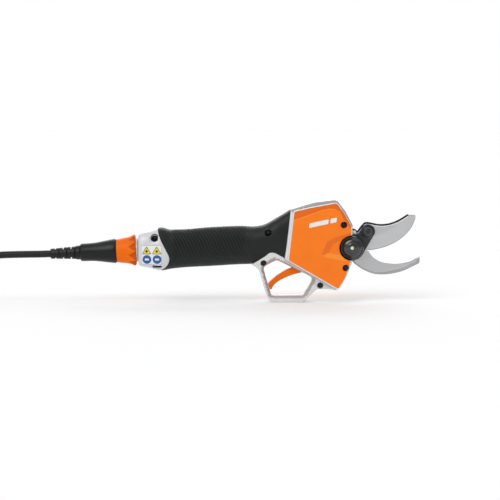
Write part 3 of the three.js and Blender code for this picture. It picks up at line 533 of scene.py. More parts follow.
def pinched(x, y, z):
    """The tie lies under the cord, and draws its runs together a little."""
    pinch = 1 - fade(abs(x - TIE_AT), TIE_HALF, TIE_HALF + TIE_REACH)
    return Vector((x, y - math.copysign(min(PINCH, abs(y)) * pinch, y), z + TIE_THICK * pinch))


def hank_turns():
    """The folded turns: the first lies inside the lead-in's row, and the next two climb at the near fold."""
    line = []
    height = FLOOR_LINE
    for turn, row in enumerate(ROWS):
        inner = ROWS[min(turn + 1, len(ROWS) - 1)]
        out = straight(FOLD, FOLD - RUN, -row) + arc((FOLD - RUN, 0), row, 270, 90)
        back = straight(FOLD - RUN, FOLD, row)
        fold = arc((FOLD, (row - inner) / 2), (row + inner) / 2, 90, -90)
        line += [pinched(x, y, height) for x, y in out]
        climb = LAYER if turn else 0.0
        climb_length = RISE_FROM + math.pi / 2 * inner
        for i, (x, y) in enumerate(back + fold, 1 - len(back)):
            gone = RISE_FROM + (math.pi * i / len(fold) * inner if i > 0 else x - FOLD)
            line.append(pinched(x, y, height + climb * fade(gone, 0, climb_length)))
        height += climb
    return line, height


def into_plug(height):
    """The last stretch: two opposite arcs from the top turn to the plug in the middle of the hank."""
    across, length = ROWS[-1], FOLD - PLUG_BACK.x
    radius = (length**2 + across**2) / (4 * across)
    turn = math.asin(length / 2 / radius)
    points = []
    count = 12  # steps along each arc
    for i in range(1, 2 * count + 1):
        if i <= count:
            a = turn * i / count
            x, y = FOLD - radius * math.sin(a), -across + radius * (1 - math.cos(a))
        else:
            a = turn * (2 * count - i) / count
            x, y = PLUG_BACK.x + radius * math.sin(a), -radius * (1 - math.cos(a))
        points.append(Vector((x, y, height + (PLUG_BACK.z - height) * fade(i / (2 * count), FALL_FROM, 1))))
    return points


def make_cord(*joined):
    """The whole cord. The pieces at its far end and on it, passed in as joined, are not used."""
    turns, height = hank_turns()
    line = catmull(cord_lead(), 4.0) + [Vector((FOLD, -TURN, FLOOR_LINE))] + turns + into_plug(height)
    data = bpy.data.curves.new("power_cord", "CURVE")
    data.dimensions = "3D"
    data.bevel_depth = CORD / 2 * MM
    data.bevel_resolution = 5
    data.use_fill_caps = True
    data.materials.append(JACKET)
    spline = data.splines.new("POLY")
    spline.points.add(len(line) - 1)
    for point, place in zip(spline.points, line):
        point.co = (*(place * MM), 1)
    cord = add_object("power_cord", data)
    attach(cord, "housing")
    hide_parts("cord", "cord_hank")


# ---------------------------------------------------------------- materials
def finish(name, color, roughness, metallic=0.0, grain=2600, grain_depth=0.02, mottle=0.04, uneven=0.06,
           stretch=(1, 1, 1), specular=0.5, scuffs=0.0, sheen=0.0):
    """A material with a fine grain, a slight change of tone and gloss over the surface, and light scuffs."""
    made = bpy.data.materials.new(name)
    made.use_nodes = True
    nodes, links = made.node_tree.nodes, made.node_tree.links
    shader = nodes["Principled BSDF"]
    shader.inputs["Metallic"].default_value = metallic
    shader.inputs["Specular IOR Level"].default_value = specular
    shader.inputs["Sheen Weight"].default_value = sheen
    place = nodes.new("ShaderNodeTexCoord")
    scaled = nodes.new("ShaderNodeMapping")
    scaled.inputs["Scale"].default_value = stretch
    links.new(place.outputs["Object"], scaled.inputs["Vector"])

    def noise(scale, detail, rough=0.5):
        node = nodes.new("ShaderNodeTexNoise")
        node.inputs["Scale"].default_value = scale
        node.inputs["Detail"].default_value = detail
        node.inputs["Roughness"].default_value = rough
        links.new(scaled.outputs["Vector"], node.inputs["Vector"])
        return node.outputs["Fac"]

    def ranged(source, low, high, start=0.3, end=0.7):
        node = nodes.new("ShaderNodeMapRange")
        for key, value in (("From Min", start), ("From Max", end), ("To Min", low), ("To Max", high)):
            node.inputs[key].default_value = value
        links.new(source, node.inputs["Value"])
        return node.outputs["Result"]

    tone = nodes.new("ShaderNodeMix")
    tone.data_type = "RGBA"
    links.new(ranged(noise(55, 3), 0, 1), tone.inputs["Factor"])
    tone.inputs["A"].default_value = (*[c * (1 - mottle) for c in color], 1)
    tone.inputs["B"].default_value = (*[min(1, c * (1 + mottle)) for c in color], 1)
    links.new(tone.outputs["Result"], shader.inputs["Base Color"])
    gloss = ranged(noise(140, 5, 0.65), roughness - uneven, roughness + uneven)
    if scuffs:
        worn = ranged(noise(420, 8, 0.8), 0, scuffs, 0.56, 0.7)
        added = nodes.new("ShaderNodeMath")
        links.new(gloss, added.inputs[0])
        links.new(worn, added.inputs[1])
        gloss = added.outputs["Value"]
    links.new(gloss, shader.inputs["Roughness"])
    bump = nodes.new("ShaderNodeBump")
    bump.inputs["Strength"].default_value = 0.6
    bump.inputs["Distance"].default_value = grain_depth * MM
    links.new(noise(grain, 3, 0.6), bump.inputs["Height"])
    links.new(bump.outputs["Normal"], shader.inputs["Normal"])
    return made


def silver(name, color, roughness=0.38, grain_depth=0.015, mottle=0.02):
    """The frame's grey plastic, with a touch of metal in it."""
    return finish(name, color, roughness, metallic=0.1, grain=3200, grain_depth=grain_depth, mottle=mottle)


def orange(name, color, roughness=0.42, mottle=0.03, specular=0.3, **extra):
    return finish(name, color, roughness, mottle=mottle, specular=specular, **extra)


def steel(name, color, roughness, grain=1500, metallic=0.9, **extra):
    return finish(name, color, roughness, metallic=metallic, grain=grain, **extra)


def printed(name, color, mottle=0.02, roughness=0.4):
    return finish(name, color, roughness, grain=2500, grain_depth=0.004, mottle=mottle)


ALONG_BLADE = (0.35, 1, 3.5)  # grinding marks

SILVER = silver("silver_plastic", (0.66, 0.665, 0.68), mottle=0.03)
# A pale silver for the lip round the orange cover, lighter than the frame as a painted highlight on it.
SILVER_LIP_HIGHLIGHT = silver("silver_lip_painted_highlight", (0.80, 0.81, 0.82), roughness=0.32, grain_depth=0.01)
# A paler copy of the silver plastic: painted light on the guard and on the frame's flat faces.
SILVER_PAINTED_LIGHT = silver("silver_painted_light", (0.75, 0.75, 0.755))
# A darker copy of the silver plastic: painted shade on the frame's rim above the cover.
SILVER_PAINTED_SHADE = silver("silver_painted_shade", (0.37, 0.385, 0.405), roughness=0.4, grain_depth=0.01)
# A darker copy of the silver plastic: painted shade on the flare round the finger hole.
SILVER_BEVEL_SHADE = silver("silver_bevel_painted_shade", (0.48, 0.475, 0.475), roughness=0.4, grain_depth=0.01)
ORANGE = orange("orange_plastic", (0.98, 0.205, 0.005), scuffs=0.05)
# A darker copy of the orange plastic: painted shade on the band above the shelf.
BAND_SHADE_ORANGE = orange("orange_band_painted_shade", (0.80, 0.145, 0.003), scuffs=0.05)
# A darker copy of the orange plastic: painted shade on the dish's slopes that face down.
DISH_SHADE_ORANGE = orange("orange_dish_painted_shade", (0.88, 0.172, 0.004))
# A lighter copy of the orange plastic: painted highlight on the slopes that face up and on the shelf's riser.
LIT_ORANGE = orange("orange_painted_highlight", (1.0, 0.29, 0.022), roughness=0.38, specular=0.4)
NUT_ORANGE = orange("orange_nut", (0.86, 0.152, 0.001), roughness=0.36, mottle=0.04, scuffs=0.05,
                    specular=0.12)
# A darker copy of the nut's orange: painted shade in its flutes.
GROOVE_SHADE_ORANGE = orange("orange_groove_painted_shade", (0.60, 0.088, 0.001), mottle=0.04, specular=0.12)
GRIP = finish("soft_grip", (0.0105, 0.012, 0.012), 0.50, grain=2200, grain_depth=0.04, mottle=0.15,
              uneven=0.08, specular=0.27)
BLACK = finish("black_plastic", (0.012, 0.013, 0.015), 0.32, grain=2400, grain_depth=0.015, mottle=0.15)
GLOSS_BLACK = finish("black_cap", (0.010, 0.011, 0.013), 0.22, grain=1800, grain_depth=0.006, mottle=0.1,
                     specular=0.9)
SCREW_BLACK = finish("black_screw", (0.075, 0.076, 0.078), 0.3, metallic=0.3, grain=1800, grain_depth=0.01,
                     mottle=0.1)
RUBBER = finish("black_rubber", (0.0065, 0.007, 0.008), 0.38, grain=2000, grain_depth=0.03, mottle=0.15,
                uneven=0.08, specular=0.27)
JACKET = finish("cord_jacket", (0.0075, 0.0075, 0.008), 0.42, grain=1500, grain_depth=0.03, mottle=0.1,
                specular=0.3)
DARK_STEEL = steel("dark_steel", (0.05, 0.05, 0.053), 0.38, grain_depth=0.01, mottle=0.15)
# A black band along the cutting blade's spine: painted shade on its rounded rim.
SPINE_SHADE = finish("spine_painted_shade", (0.008, 0.008, 0.010), 0.5, grain=1500, grain_depth=0.01, mottle=0.15,
               specular=0.2)
BLADE_STEEL = steel("blade_steel", (0.57, 0.575, 0.585), 0.36, grain=900, grain_depth=0.012, uneven=0.07,
                    stretch=ALONG_BLADE, scuffs=0.06)
# A darker steel along the cutting edge: painted shade on its steep bevel, with grinding marks.
EDGE_SHADE_STEEL = steel("ground_edge_painted_shade", (0.20, 0.205, 0.21), 0.30, metallic=0.95, grain_depth=0.01,
                   stretch=(2.5, 1, 0.6))
# A darker steel on the hook blade's bevel: painted shade on its right side.
BEVEL_SHADE_STEEL = steel("blade_bevel_painted_shade", (0.38, 0.385, 0.395), 0.34, grain=900, grain_depth=0.012, mottle=0.05,
                    stretch=ALONG_BLADE, scuffs=0.06)
# A near-white steel strip beside the spine's dark band: a painted highlight.
STRIP_HIGHLIGHT_STEEL = steel("strip_painted_highlight", (0.92, 0.925, 0.93), 0.25, grain_depth=0.008, mottle=0.03)
BRIGHT_STEEL = steel("bright_steel", (0.6, 0.6, 0.61), 0.28, grain=1200, metallic=1.0, grain_depth=0.006,
                     mottle=0.05)
BRASS = finish("brass", (0.72, 0.52, 0.22), 0.3, metallic=1.0, grain=1200, grain_depth=0.006, mottle=0.08)
COPPER = finish("copper_winding", (0.5, 0.22, 0.1), 0.42, metallic=0.8, grain=1500, grain_depth=0.05,
                mottle=0.15, stretch=(0.3, 1, 1))
BOARD = finish("circuit_board", (0.02, 0.14, 0.055), 0.4, grain=900, mottle=0.2)
CREAM = finish("cream_plastic", (0.78, 0.72, 0.5), 0.3, grain=1500, grain_depth=0.005)
STRAP = finish("strap_weave", (0.03, 0.03, 0.032), 0.85, grain_depth=0.15, mottle=0.25, sheen=0.4,
               stretch=(1, 3, 3))
LABEL_WHITE = printed("label_white", (0.80, 0.81, 0.80))
LABEL_GREY = printed("label_grey", (0.33, 0.34, 0.35))
LABEL_YELLOW = printed("label_yellow", (0.85, 0.66, 0.02), mottle=0.03)
LABEL_BLUE = printed("label_blue", (0.015, 0.10, 0.36), mottle=0.05)
LABEL_BLACK = printed("label_black", (0.015, 0.015, 0.012), mottle=0.04)
PALE_PRINT = printed("pale_print", (0.86, 0.84, 0.80), roughness=0.42)

KEPT = {
    BRASS: ["contact_pin_1", "contact_pin_2", "contact_pin_3", "spindle_nut"],
    BOARD: ["control_board", "sensor_board"],
    COPPER: ["motor_stator"],
    BLACK: ["bulk_capacitor"],
    SILVER: ["tool_socket"],
    DARK_STEEL: ["drive_link", "pivot_nut", "counter_screw_1", "counter_screw_2", "motor_rotor",
                 "trigger_magnet"],
    BRIGHT_STEEL: ["motor_can", "sun_gear", "ring_gear", "planet_gear_1", "planet_gear_2", "planet_gear_3",
                   "planet_carrier", "spindle_bearing", "spindle", "lever_pin", "pivot_bolt", "trigger_pin",
                   "trigger_spring"],
}


def dress_kept_nodes():
    """The inner parts keep their CAD shapes and get materials."""
    for material, nodes in KEPT.items():
        for node in nodes:
            materials = frame["nodes"][node].data.materials
            materials.clear()
            materials.append(material)


# ---------------------------------------------------------------- floor and light
FLOOR_GLOW = 0.11  # what the pale floor gives off by itself, which keeps the shadow soft and light
FLOOR_HALF = 30  # metres
SKY = 0.36  # the room's light on the tool


def make_stage():
    """A wide plain floor, as pale as the room behind it."""
    level, half = CAD_BOX[0].z, FLOOR_HALF
    corners = [(-half, -half, level), (half, -half, level), (half, half, level), (-half, half, level)]
    mesh = bpy.data.meshes.new("floor")
    mesh.from_pydata(corners, [], [(0, 1, 2, 3)])
    paper = finish("floor_paper", (0.86, 0.86, 0.862), 0.9, grain=60, mottle=0.002, specular=0.0)
    shader = paper.node_tree.nodes["Principled BSDF"]
    shader.inputs["Emission Color"].default_value = (1, 1, 1, 1)
    shader.inputs["Emission Strength"].default_value = FLOOR_GLOW
    mesh.materials.append(paper)
    add_object("floor", mesh)


def far_light(name, azimuth, elevation, strength, softness):
    """A far lamp: the direction it shines from and its spread, in degrees. Azimuth 0 faces the right side."""
    data = bpy.data.lights.new(name, "SUN")
    data.energy = strength
    data.angle = math.radians(softness)
    turn, rise = math.radians(azimuth), math.radians(elevation)
    towards = Vector((math.sin(turn) * math.cos(rise), -math.cos(turn) * math.cos(rise), math.sin(rise)))
    light = add_object(name, data)
    light.location = towards
    aim(light, towards)


def make_lights():
    """A white room with little light of its own, a key light in front, one above and a low one behind."""
    world = bpy.data.worlds.new("studio")
    world.use_nodes = True
    nodes, links = world.node_tree.nodes, world.node_tree.links
    background = nodes["Background"]
    background.inputs["Color"].default_value = (1, 1, 1, 1)
    seen = nodes.new("ShaderNodeLightPath")
    strength = nodes.new("ShaderNodeMapRange")
    strength.inputs["To Min"].default_value = SKY
    strength.inputs["To Max"].default_value = 1.0
    links.new(seen.outputs["Is Camera Ray"], strength.inputs["Value"])
    links.new(strength.outputs["Result"], background.inputs["Strength"])
    bpy.context.scene.world = world
    bpy.context.scene.view_settings.view_transform = "Standard"
    far_light("key", -32, 40, 1.35, 40)
    far_light("top", 170, 76, 0.75, 90)
    far_light("back", 178, 16, 1.85, 60)


# ---------------------------------------------------------------- the handle: rear shell, grips, core
# The handle's sections: x, lowest z, highest z, half width, squareness.
HANDLE = np.array([
    (-105.8, 41.1, 74.5, 15.4, 3.2), (-103.6, 39.8, 75.8, 16.8, 3.2), (-93.7, 37.5, 78.3, 18.0, 3.0),
    (-80.5, 34.6, 81.7, 19.0, 2.7), (-71.5, 36.2, 79.4, 18.4, 2.5), (-60, 37.5, 79.2, 18.0, 2.4),
    (-27, 39.4, 81.7, 18.3, 2.4), (5, 41.3, 83.0, 18.6, 2.4), (22, 42.0, 83.1, 18.8, 2.5),
    (32, 43.2, 85.0, 18.9, 2.7), (44, 45.6, 91.5, 19.0, 3.0), (53, 46.2, 96.8, 18.4, 3.3),
    (62, 46.6, 102.6, 17.9, 3.6),
])
ROUND = 21.0  # millimetres of the flat pattern for each radian round a section
HALF_TURN = math.pi / 2 * ROUND
JOINT_GAP = 0.12  # half the gap between the right and left halves
SEAM = 0.3  # the gap between the grip and its neighbours
NECK = 13.3  # the opening's radius at the rear face
GRIP_REAR = [(-81.6, 34.7), (-77.2, 37.6), (-73.4, 41.5), (-71.7, 47), (-72.3, 51.4), (-75, 56.9),
             (-78.9, 64.6), (-82.7, 73.4), (-84.4, 80.6)]
GRIP_FRONT, GRIP_LEAN = (54.2, 49), 0.1246  # a point on the grip's front edge, and how far that leans
SADDLE = [(54.0, 49.4), (46.5, 53.6), (43.4, 55.0), (39.9, 55.6), (36.1, 54.3), (32.8, 51.4), (25.1, 46.4),
          (18.4, 42.2)]  # the line between the grip and the guard
RIB_PITCH, RIB_SLANT, RIB_HEIGHT = 3.5, 0.52, 0.95
RIBS_FROM, RIBS_TO = -69, 21
HEAD_RADIUS, WELL = 2.7, 3.6  # a screw's head and the hole it lies in
# The rear shell's flat pattern runs on past the handle's end, round its rim and in towards the socket.
RIM_START, RIM_RADIUS, FACE_LENGTH = -103.9, 1.9, 5.0
RIM_LENGTH = RIM_RADIUS * math.pi / 2


def handle_section(x):
    """Each section value at x, on a smooth curve through the stations."""
    stations, values = HANDLE[:, 0], HANDLE[:, 1:]
    x = np.clip(x, stations[0], stations[-1])
    i = np.clip(np.searchsorted(stations, x) - 1, 0, len(stations) - 2)
    width = (stations[i + 1] - stations[i])[:, None]
    t = (x - stations[i])[:, None] / width
    slope = np.gradient(values, stations, axis=0)
    a, b, ma, mb = values[i], values[i + 1], slope[i] * width, slope[i + 1] * width
    return ((a * (1 + 2 * t) + ma * t) * (1 - t) ** 2 + (b * (3 - 2 * t) + mb * (t - 1)) * t**2).T


def turn_of(pattern):
    """The angle round its section of each point in the flat pattern."""
    return np.clip(pattern[:, 1] / ROUND, -math.pi / 2, math.pi / 2)


def handle_surface(pattern, depth, side):
    """Points `depth` below the handle's surface, from its flat pattern of x and distance round it."""
    x, turn = pattern[:, 0], turn_of(pattern)
    low, high, half, square = handle_section(x)
    y = (half - depth) * power(np.cos(turn), 2 / square)
    z = (low + high) / 2 + ((high - low) / 2 - depth) * power(np.sin(turn), 2 / square)
    return np.stack([x, side * np.maximum(y, JOINT_GAP), z], axis=1)


def to_pattern(points):
    """Where points (x, z) of the side view lie in the flat pattern."""
    points = np.array(points, float)
    low, high, _, square = handle_section(points[:, 0])
    level = np.clip((points[:, 1] - (low + high) / 2) / ((high - low) / 2), -1, 1)
    return np.stack([points[:, 0], np.arcsin(power(level, square / 2)) * ROUND], axis=1)


def skin(name, border, depths, side, material, rim, spacing, shape=handle_surface, holes=(), proud=None,
         grid=None, edge=1.4, **extra):
    """A shell of the housing between two depths below a surface. proud raises its outside."""
    border = dense(np.array(border, float), edge)
    holes = [dense(np.array(hole, float), edge) for hole in holes]
    flat, triangles, distance = flat_mesh(border, holes, spacing, rim, grid=grid)
    outer = depths[0] + drop(distance, rim) - (proud(flat) if proud else 0.0)
    surfaces = [shape(flat, depth, side) for depth in (outer, np.full(len(flat), float(depths[1])))]
    verts, faces = solid_of(flat, triangles, *surfaces)
    return piece(name, verts, faces, material, "housing", **extra)


def rear_line(gap=0.0):
    """The line between the rear shell and the grip in the flat pattern, from the bottom to the top."""
    line = [tuple(p) for p in to_pattern(through([(x + gap, z) for x, z in GRIP_REAR], 1.5))]
    return [(line[0][0] - 0.8, -HALF_TURN)] + line + [(line[-1][0] - 0.2, HALF_TURN)]


def grip_border():
    """The grip's outline in the flat pattern."""
    def front(z):
        return GRIP_FRONT[0] + (z - GRIP_FRONT[1]) * GRIP_LEAN - SEAM

    mapped = to_pattern([(front(z), z) for z in np.linspace(101.5, 50.5, 24)] + through(SADDLE, 1.5))
    top, bottom = (front(102.0), HALF_TURN), (16.2, -HALF_TURN)
    return np.array(rear_line(SEAM) + [top] + [tuple(p) for p in mapped] + [bottom])


def ribs(pattern):
    """How far the grip's slanted ribs stand proud."""
    x, q = pattern.T
    ends = fade(x, RIBS_FROM - 5, RIBS_FROM + 4) * (1 - fade(x, RIBS_TO - 14, RIBS_TO + 3))
    low_edge = fade(q, -15, -7)
    wave = 0.5 + 0.5 * np.cos(2 * math.pi * (x + RIB_SLANT * q) / RIB_PITCH)
    return RIB_HEIGHT * (wave**0.8 - 0.35) * ends * low_edge


def slanted_grid(border, across, along):
    """Points in rows that follow the ribs."""
    (x0, q0), (x1, q1) = border.min(0), border.max(0)
    phases = np.arange(x0 + RIB_SLANT * q0, x1 + RIB_SLANT * q1, across)
    phase, q = np.meshgrid(phases, np.arange(q0, q1, along))
    return np.stack([(phase - RIB_SLANT * q).ravel(), q.ravel()], axis=1)


def make_grip(side, name):
    border = grip_border()
    holes = [to_pattern(circle(SCREWS["grip_front"], WELL + 0.2, 32))] if side < 0 else []
    skin(f"soft_grip_{name}", border, (0.0, 2.2), side, GRIP, 0.7, 1.2, holes=holes, proud=ribs,
         grid=slanted_grid(border, RIB_PITCH / 6, 1.5), stands_for=[f"grip_{name}"], slot="soft_grip",
         sharp=50)


def rear_surface(pattern, depth, side):
    """The handle's surface and, past its end, the rounded rim and the rear face."""
    over = np.maximum(RIM_START - pattern[:, 0], 0)
    bend = np.minimum(over / RIM_RADIUS, math.pi / 2)
    inward = np.clip((over - RIM_LENGTH) / FACE_LENGTH, 0, 1)
    reach = RIM_RADIUS - depth
    place = np.stack([np.maximum(pattern[:, 0], RIM_START), pattern[:, 1]], axis=1)
    on_rim = handle_surface(place, np.where(over > 0, RIM_RADIUS - reach * np.cos(bend), depth), side)
    turn = turn_of(pattern)
    neck_y = np.maximum(NECK * np.cos(turn), JOINT_GAP) * side
    neck_z = REAR.z + NECK * np.sin(turn)
    x = np.where(over > 0, RIM_START - reach * np.sin(bend), place[:, 0])
    y = on_rim[:, 1] * (1 - inward) + neck_y * inward
    z = on_rim[:, 2] * (1 - inward) + neck_z * inward
    return np.stack([x, y, z], axis=1)


def screw_recess(pattern):
    """The shallow square sink round the rear upper screw, as a negative height."""
    screw = SCREWS["rear_upper"]
    x, q = (pattern - to_pattern([(screw.x - 0.8, screw.z - 0.9)])[0]).T
    return -1.1 * (1 - fade(np.maximum(np.abs(x + 0.12 * q), np.abs(q)), 3.6, 4.9))


def rear_slot(*heights):
    """The hole round the rear lower screw, from its corners' heights over the screw."""
    low = SCREWS["rear_lower"]
    return fillet([(low.x + x, low.z + z, 1) for x, z in zip((-5.6, -5.2, 5.2, 4.2), heights)], 3)


def make_rear_shell(side, name):
    start = RIM_START - RIM_LENGTH - FACE_LENGTH
    border = [(start, HALF_TURN), (start, -HALF_TURN)] + rear_line(-SEAM / 2)
    loops = circle(SCREWS["rear_upper"], WELL, 32), rear_slot(-1.9, 1.6, 1.2, -2.0)
    holes = [to_pattern(loop) for loop in loops]
    right = {"holes": holes, "proud": screw_recess} if side < 0 else {}
    skin(f"rear_shell_{name}", border, (0.0, 1.5), side, SILVER, 0.45, 1.6, shape=rear_surface, edge=1.0,
         slot="silver_plastic", sharp=40, **right)


def make_core(side, name):
    """The housing under the grip."""
    border = [(-80, -HALF_TURN), (-80, HALF_TURN), (56, HALF_TURN), (50, -HALF_TURN)]
    made = skin(f"grip_core_{name}", border, (2.7, 4.6), side, SILVER, 0, 4.0, edge=4.0,
                slot="silver_plastic")
    if side < 0:
        carve(made, rod(WELL + 0.4, (-30, -8), SCREWS["grip_front"]))


def make_wells():
    """The walls of the screws' deep holes in the handle; the two round ones are black, painted shade in the
    holes.
    """
    for name, outer in (("rear_upper", 16.9), ("grip_front", 17.6)):
        screw = SCREWS[name]
        # Black walls: painted shade in the deep holes.
        plate(f"well_{name}", circle(screw, WELL + 0.9), (-outer, low_mm(f"screw_{name}").y + 2.2), BLACK,
              "housing", holes=[circle(screw, WELL)], rim=0.2)
    bottom = low_mm("screw_rear_lower").y
    plate("well_rear_lower", rear_slot(-2.2, 1.9, 1.7, -2.2), (bottom + 2.4, bottom + 4.0), SILVER, "housing",
          holes=[circle(SCREWS["rear_lower"], 1.9)], rim=0.2)


# ---------------------------------------------------------------- the head: frame, covers, guard
HEAD = [(54.2, 47.4, 1), (60.8, 102.2, 1.5), (86, 109.9, 30), (110.6, 112.9, 6), (120.5, 100, 8),
        (128.2, 85.2, 2), (128, 45, 2), (121.5, 28.5, 20), (112.8, 13.2, 5)]
COVER = [(57.4, 46.6, 1), (63.7, 101.0, 3.5), (84, 105.6, 20), (111.2, 110.5, 6), (119.5, 98, 8),
         (126.8, 84.8, 3), (126.6, 46.8, 2), (120.4, 28.5, 20), (113, 14.4, 4)]
COVER_TOP = (60, 64, 111, 121, 128), (101, 99, 105, 95, 82)  # the frame's rim is painted in shade above this line
HEAD_HALF, COVER_HALF, FRAME_WALL, FRAME_ROOM, CAP_ROOM = 18, 23, 2.6, 15.4, 13.9
FRAME_RIM = 1.6
HEAD_SCREWS, GUARD_SCREWS = ("head_upper", "head_lower"), ("guard_rear", "guard_front")
# The dished field round the pivot: its corners and how wide the slope along each side is.
DISH = [((93.8, 53.6), 7), ((100.4, 67.9), 5.5), ((110.9, 73), 4.5), ((136, 80.5), 0), ((136, 47), 0),
        ((124.6, 45.8), 5.5), ((97, 50.4), 4)]
DISH_DEPTH = 2.5
LIT_FROM = 5  # the dish's slopes from this side on face up to the light and get a painted highlight; the others get painted shade
SHELF = [(60.5, 89.0), (64.7, 90.4), (71.3, 92.6), (82.3, 96.5), (93.3, 100.3), (100.5, 102.2),
         (106.5, 102.4), (110.6, 101.6), (113.4, 99.6), (116.3, 94.6), (119.9, 88.4), (123.5, 83)]
SHELF_DEPTH, SHELF_RISER = 1.5, 1.1
# The cover's looks: its orange, painted shade on the band above the shelf, a painted highlight on up-facing
# slopes and the riser, a silver lip with a painted highlight, and painted shade on the dish's other slopes.
PLATEAU, BAND, LIT_SLOPE, COVER_LIP_HIGHLIGHT, SLOPE = range(5)
COVER_LOOKS = [ORANGE, BAND_SHADE_ORANGE, LIT_ORANGE, SILVER_LIP_HIGHLIGHT, DISH_SHADE_ORANGE]


def dish_sides():
    """Each side of the dish: its first corner, its direction and its slope's width."""
    corners = [np.array(corner) for corner, _ in DISH]
    sides = []
    for corner, after, (_, width) in zip(corners, corners[1:] + corners[:1], DISH):
        span = after - corner
        sides.append((corner, span / np.linalg.norm(span), width))
    return sides


def dish_reach(points):
    """How far inside each side of the dish the points are, in widths of that side's slope."""
    return np.array([((points[:, 0] - a[0]) * along[1] - (points[:, 1] - a[1]) * along[0]) / width if width
                     else np.full(len(points), 9.0) for a, along, width in dish_sides()])


def dish_lines():
    """The outer and inner ends of the dish's slopes, from its lower right corner round to its upper right."""
    sloped = [dish_sides()[i] for i in (5, 6, 0, 1, 2)]
    outer = [a for a, _, _ in sloped] + [np.array(DISH[3][0])]
    moved = [(a + width * np.array((along[1], -along[0])), along) for a, along, width in sloped]
    inner = [moved[0][0]]
    for (p, d), (q, e) in zip(moved, moved[1:]):
        inner.append(p + d * (((q[0] - p[0]) * e[1] - (q[1] - p[1]) * e[0]) / (d[0] * e[1] - d[1] * e[0])))
    return outer, inner + [moved[-1][0] + 20 * moved[-1][1]]


def from_shelf(points):
    """The points' distance from the shelf's line, and which are above it."""
    line = np.array(through(SHELF))
    order = np.argsort(line[:, 0])
    return distance_open(points, line), points[:, 1] > np.interp(points[:, 0], line[order, 0], line[order, 1])


def cover_face(points):
    """How far the cover sinks: in the dish round the pivot, and in the band above the shelf."""
    distance, above = from_shelf(points)
    dish = DISH_DEPTH * np.clip(np.min(dish_reach(points), axis=0), 0, 1)
    return np.maximum(dish, np.where(above, SHELF_DEPTH * np.clip(distance / SHELF_RISER, 0, 1), 0.0))


def cover_tone(middles):
    """Which of the cover's looks each face gets: painted shade on the band and on the dish's slopes that face
    down, a painted highlight on the riser and on the slopes that face up, and the silver lip with its painted
    highlight round the rim.
    """
    places = middles[:, [0, 2]]
    reach = dish_reach(places)
    side, least = np.argmin(reach, axis=0), np.min(reach, axis=0)
    tone = np.where((least > 0) & (least < 1), np.where(side >= LIT_FROM, LIT_SLOPE, SLOPE), PLATEAU)
    distance, above = from_shelf(places)
    tone = np.where(above, np.where(distance < 0.75, LIT_SLOPE, BAND), tone)
    # The rim gets the silver lip, lighter as a painted highlight.
    edge = distance_to(places, [dense(fillet(COVER), 0.8)])
    return np.where(edge < np.where(places[:, 0] < 116, 0.95, 0.5), COVER_LIP_HIGHLIGHT, tone)


def make_cover(side, name):
    border = bitten(fillet(COVER), PIVOT, CAP_ROOM)
    outer, inner = dish_lines()
    lines = [through(SHELF, 1.2), straight_lines(outer, 1.2), straight_lines(inner, 1.2)]
    creases = [longest(line, contains(line, inset(border, 1.9))) for line in map(np.array, lines)]
    plate(f"panel_{name}", border, materials=COVER_LOOKS, body="housing", spacing=1.25, edge=1.0,
          creases=creases, holes=[circle(SCREWS[n], WELL) for n in HEAD_SCREWS] if side < 0 else [],
          paint=cover_tone, stands_for=[f"cover_{name}"], slot="orange_plastic", sharp=14,
          **one_side(side, COVER_HALF, HEAD_HALF + 0.3, 1.5, 0.0, cover_face))


def make_frame(side, name):
    def paint(middles):
        """The rounded rim above the cover gets painted shade, and the flat face painted light."""
        above = middles[:, 2] > np.interp(middles[:, 0], *COVER_TOP)
        depth = HEAD_HALF - np.abs(middles[:, 1])
        return np.select([above & (depth < FRAME_RIM), depth < 0.5], [1, 2], 0)

    made = plate(f"head_frame_{name}", fillet(HEAD, 8), materials=[SILVER, SILVER_PAINTED_SHADE, SILVER_PAINTED_LIGHT],
                 body="housing", spacing=6, edge=1.5, paint=paint, stands_for=[f"housing_{name}"],
                 slot="silver_plastic", **one_side(side, HEAD_HALF, JOINT_GAP, FRAME_RIM, 0.15))
    room = cutter(inset(fillet(HEAD, 3), FRAME_WALL), (-FRAME_ROOM, FRAME_ROOM))
    mouth = cutter([(112, 43.2), (112, 84.2), (140, 84.2), (140, 43.2)], (-9.2, 6.6))
    bay = rod(CAP_ROOM, (-40, -5) if side < 0 else (5, 40), PIVOT, 64)
    drive = cutter([on_axis(s, up).xz for s, up in ((150, -9.5), (150, 9.5), (185, 9.5), (185, -9.5))],
                   (-9.5, 9.5))
    slot = cutter([(60, 30), (84, 26), (88, 50), (60, 60)], TRIGGER_ROOM)
    wells = [rod(WELL, (-30, -14), SCREWS[n]) for n in HEAD_SCREWS] if side < 0 else []
    carve(made, room, mouth, bay, drive, slot, *wells)


FINGER_HOLE = [(30.6, 38.4, 5), (45.4, 46.3, 6), (86.1, 26.5, 5), (74.6, 7.5, 4), (39.7, 7.3, 4)]
FLARED_HOLE = [(27.5, 39.3, 6), (42.8, 50.5, 7), (90.4, 25.5, 6), (76.2, 4.5, 5), (37.6, 4.6, 5)]
BOW_HALF, HOLE_HALF = 11, 6.5  # half the guard's width outside, and inside the finger hole
CHEEKS_FROM, CHEEK_HALF = 84, 18.2  # the guard's cheeks lie behind this, and are this wide at the handle
TRIGGER_ROOM = (-6.6, 6.6)
NOSE_REACH = 46.9  # from the trigger's pivot to the end of its nose's room


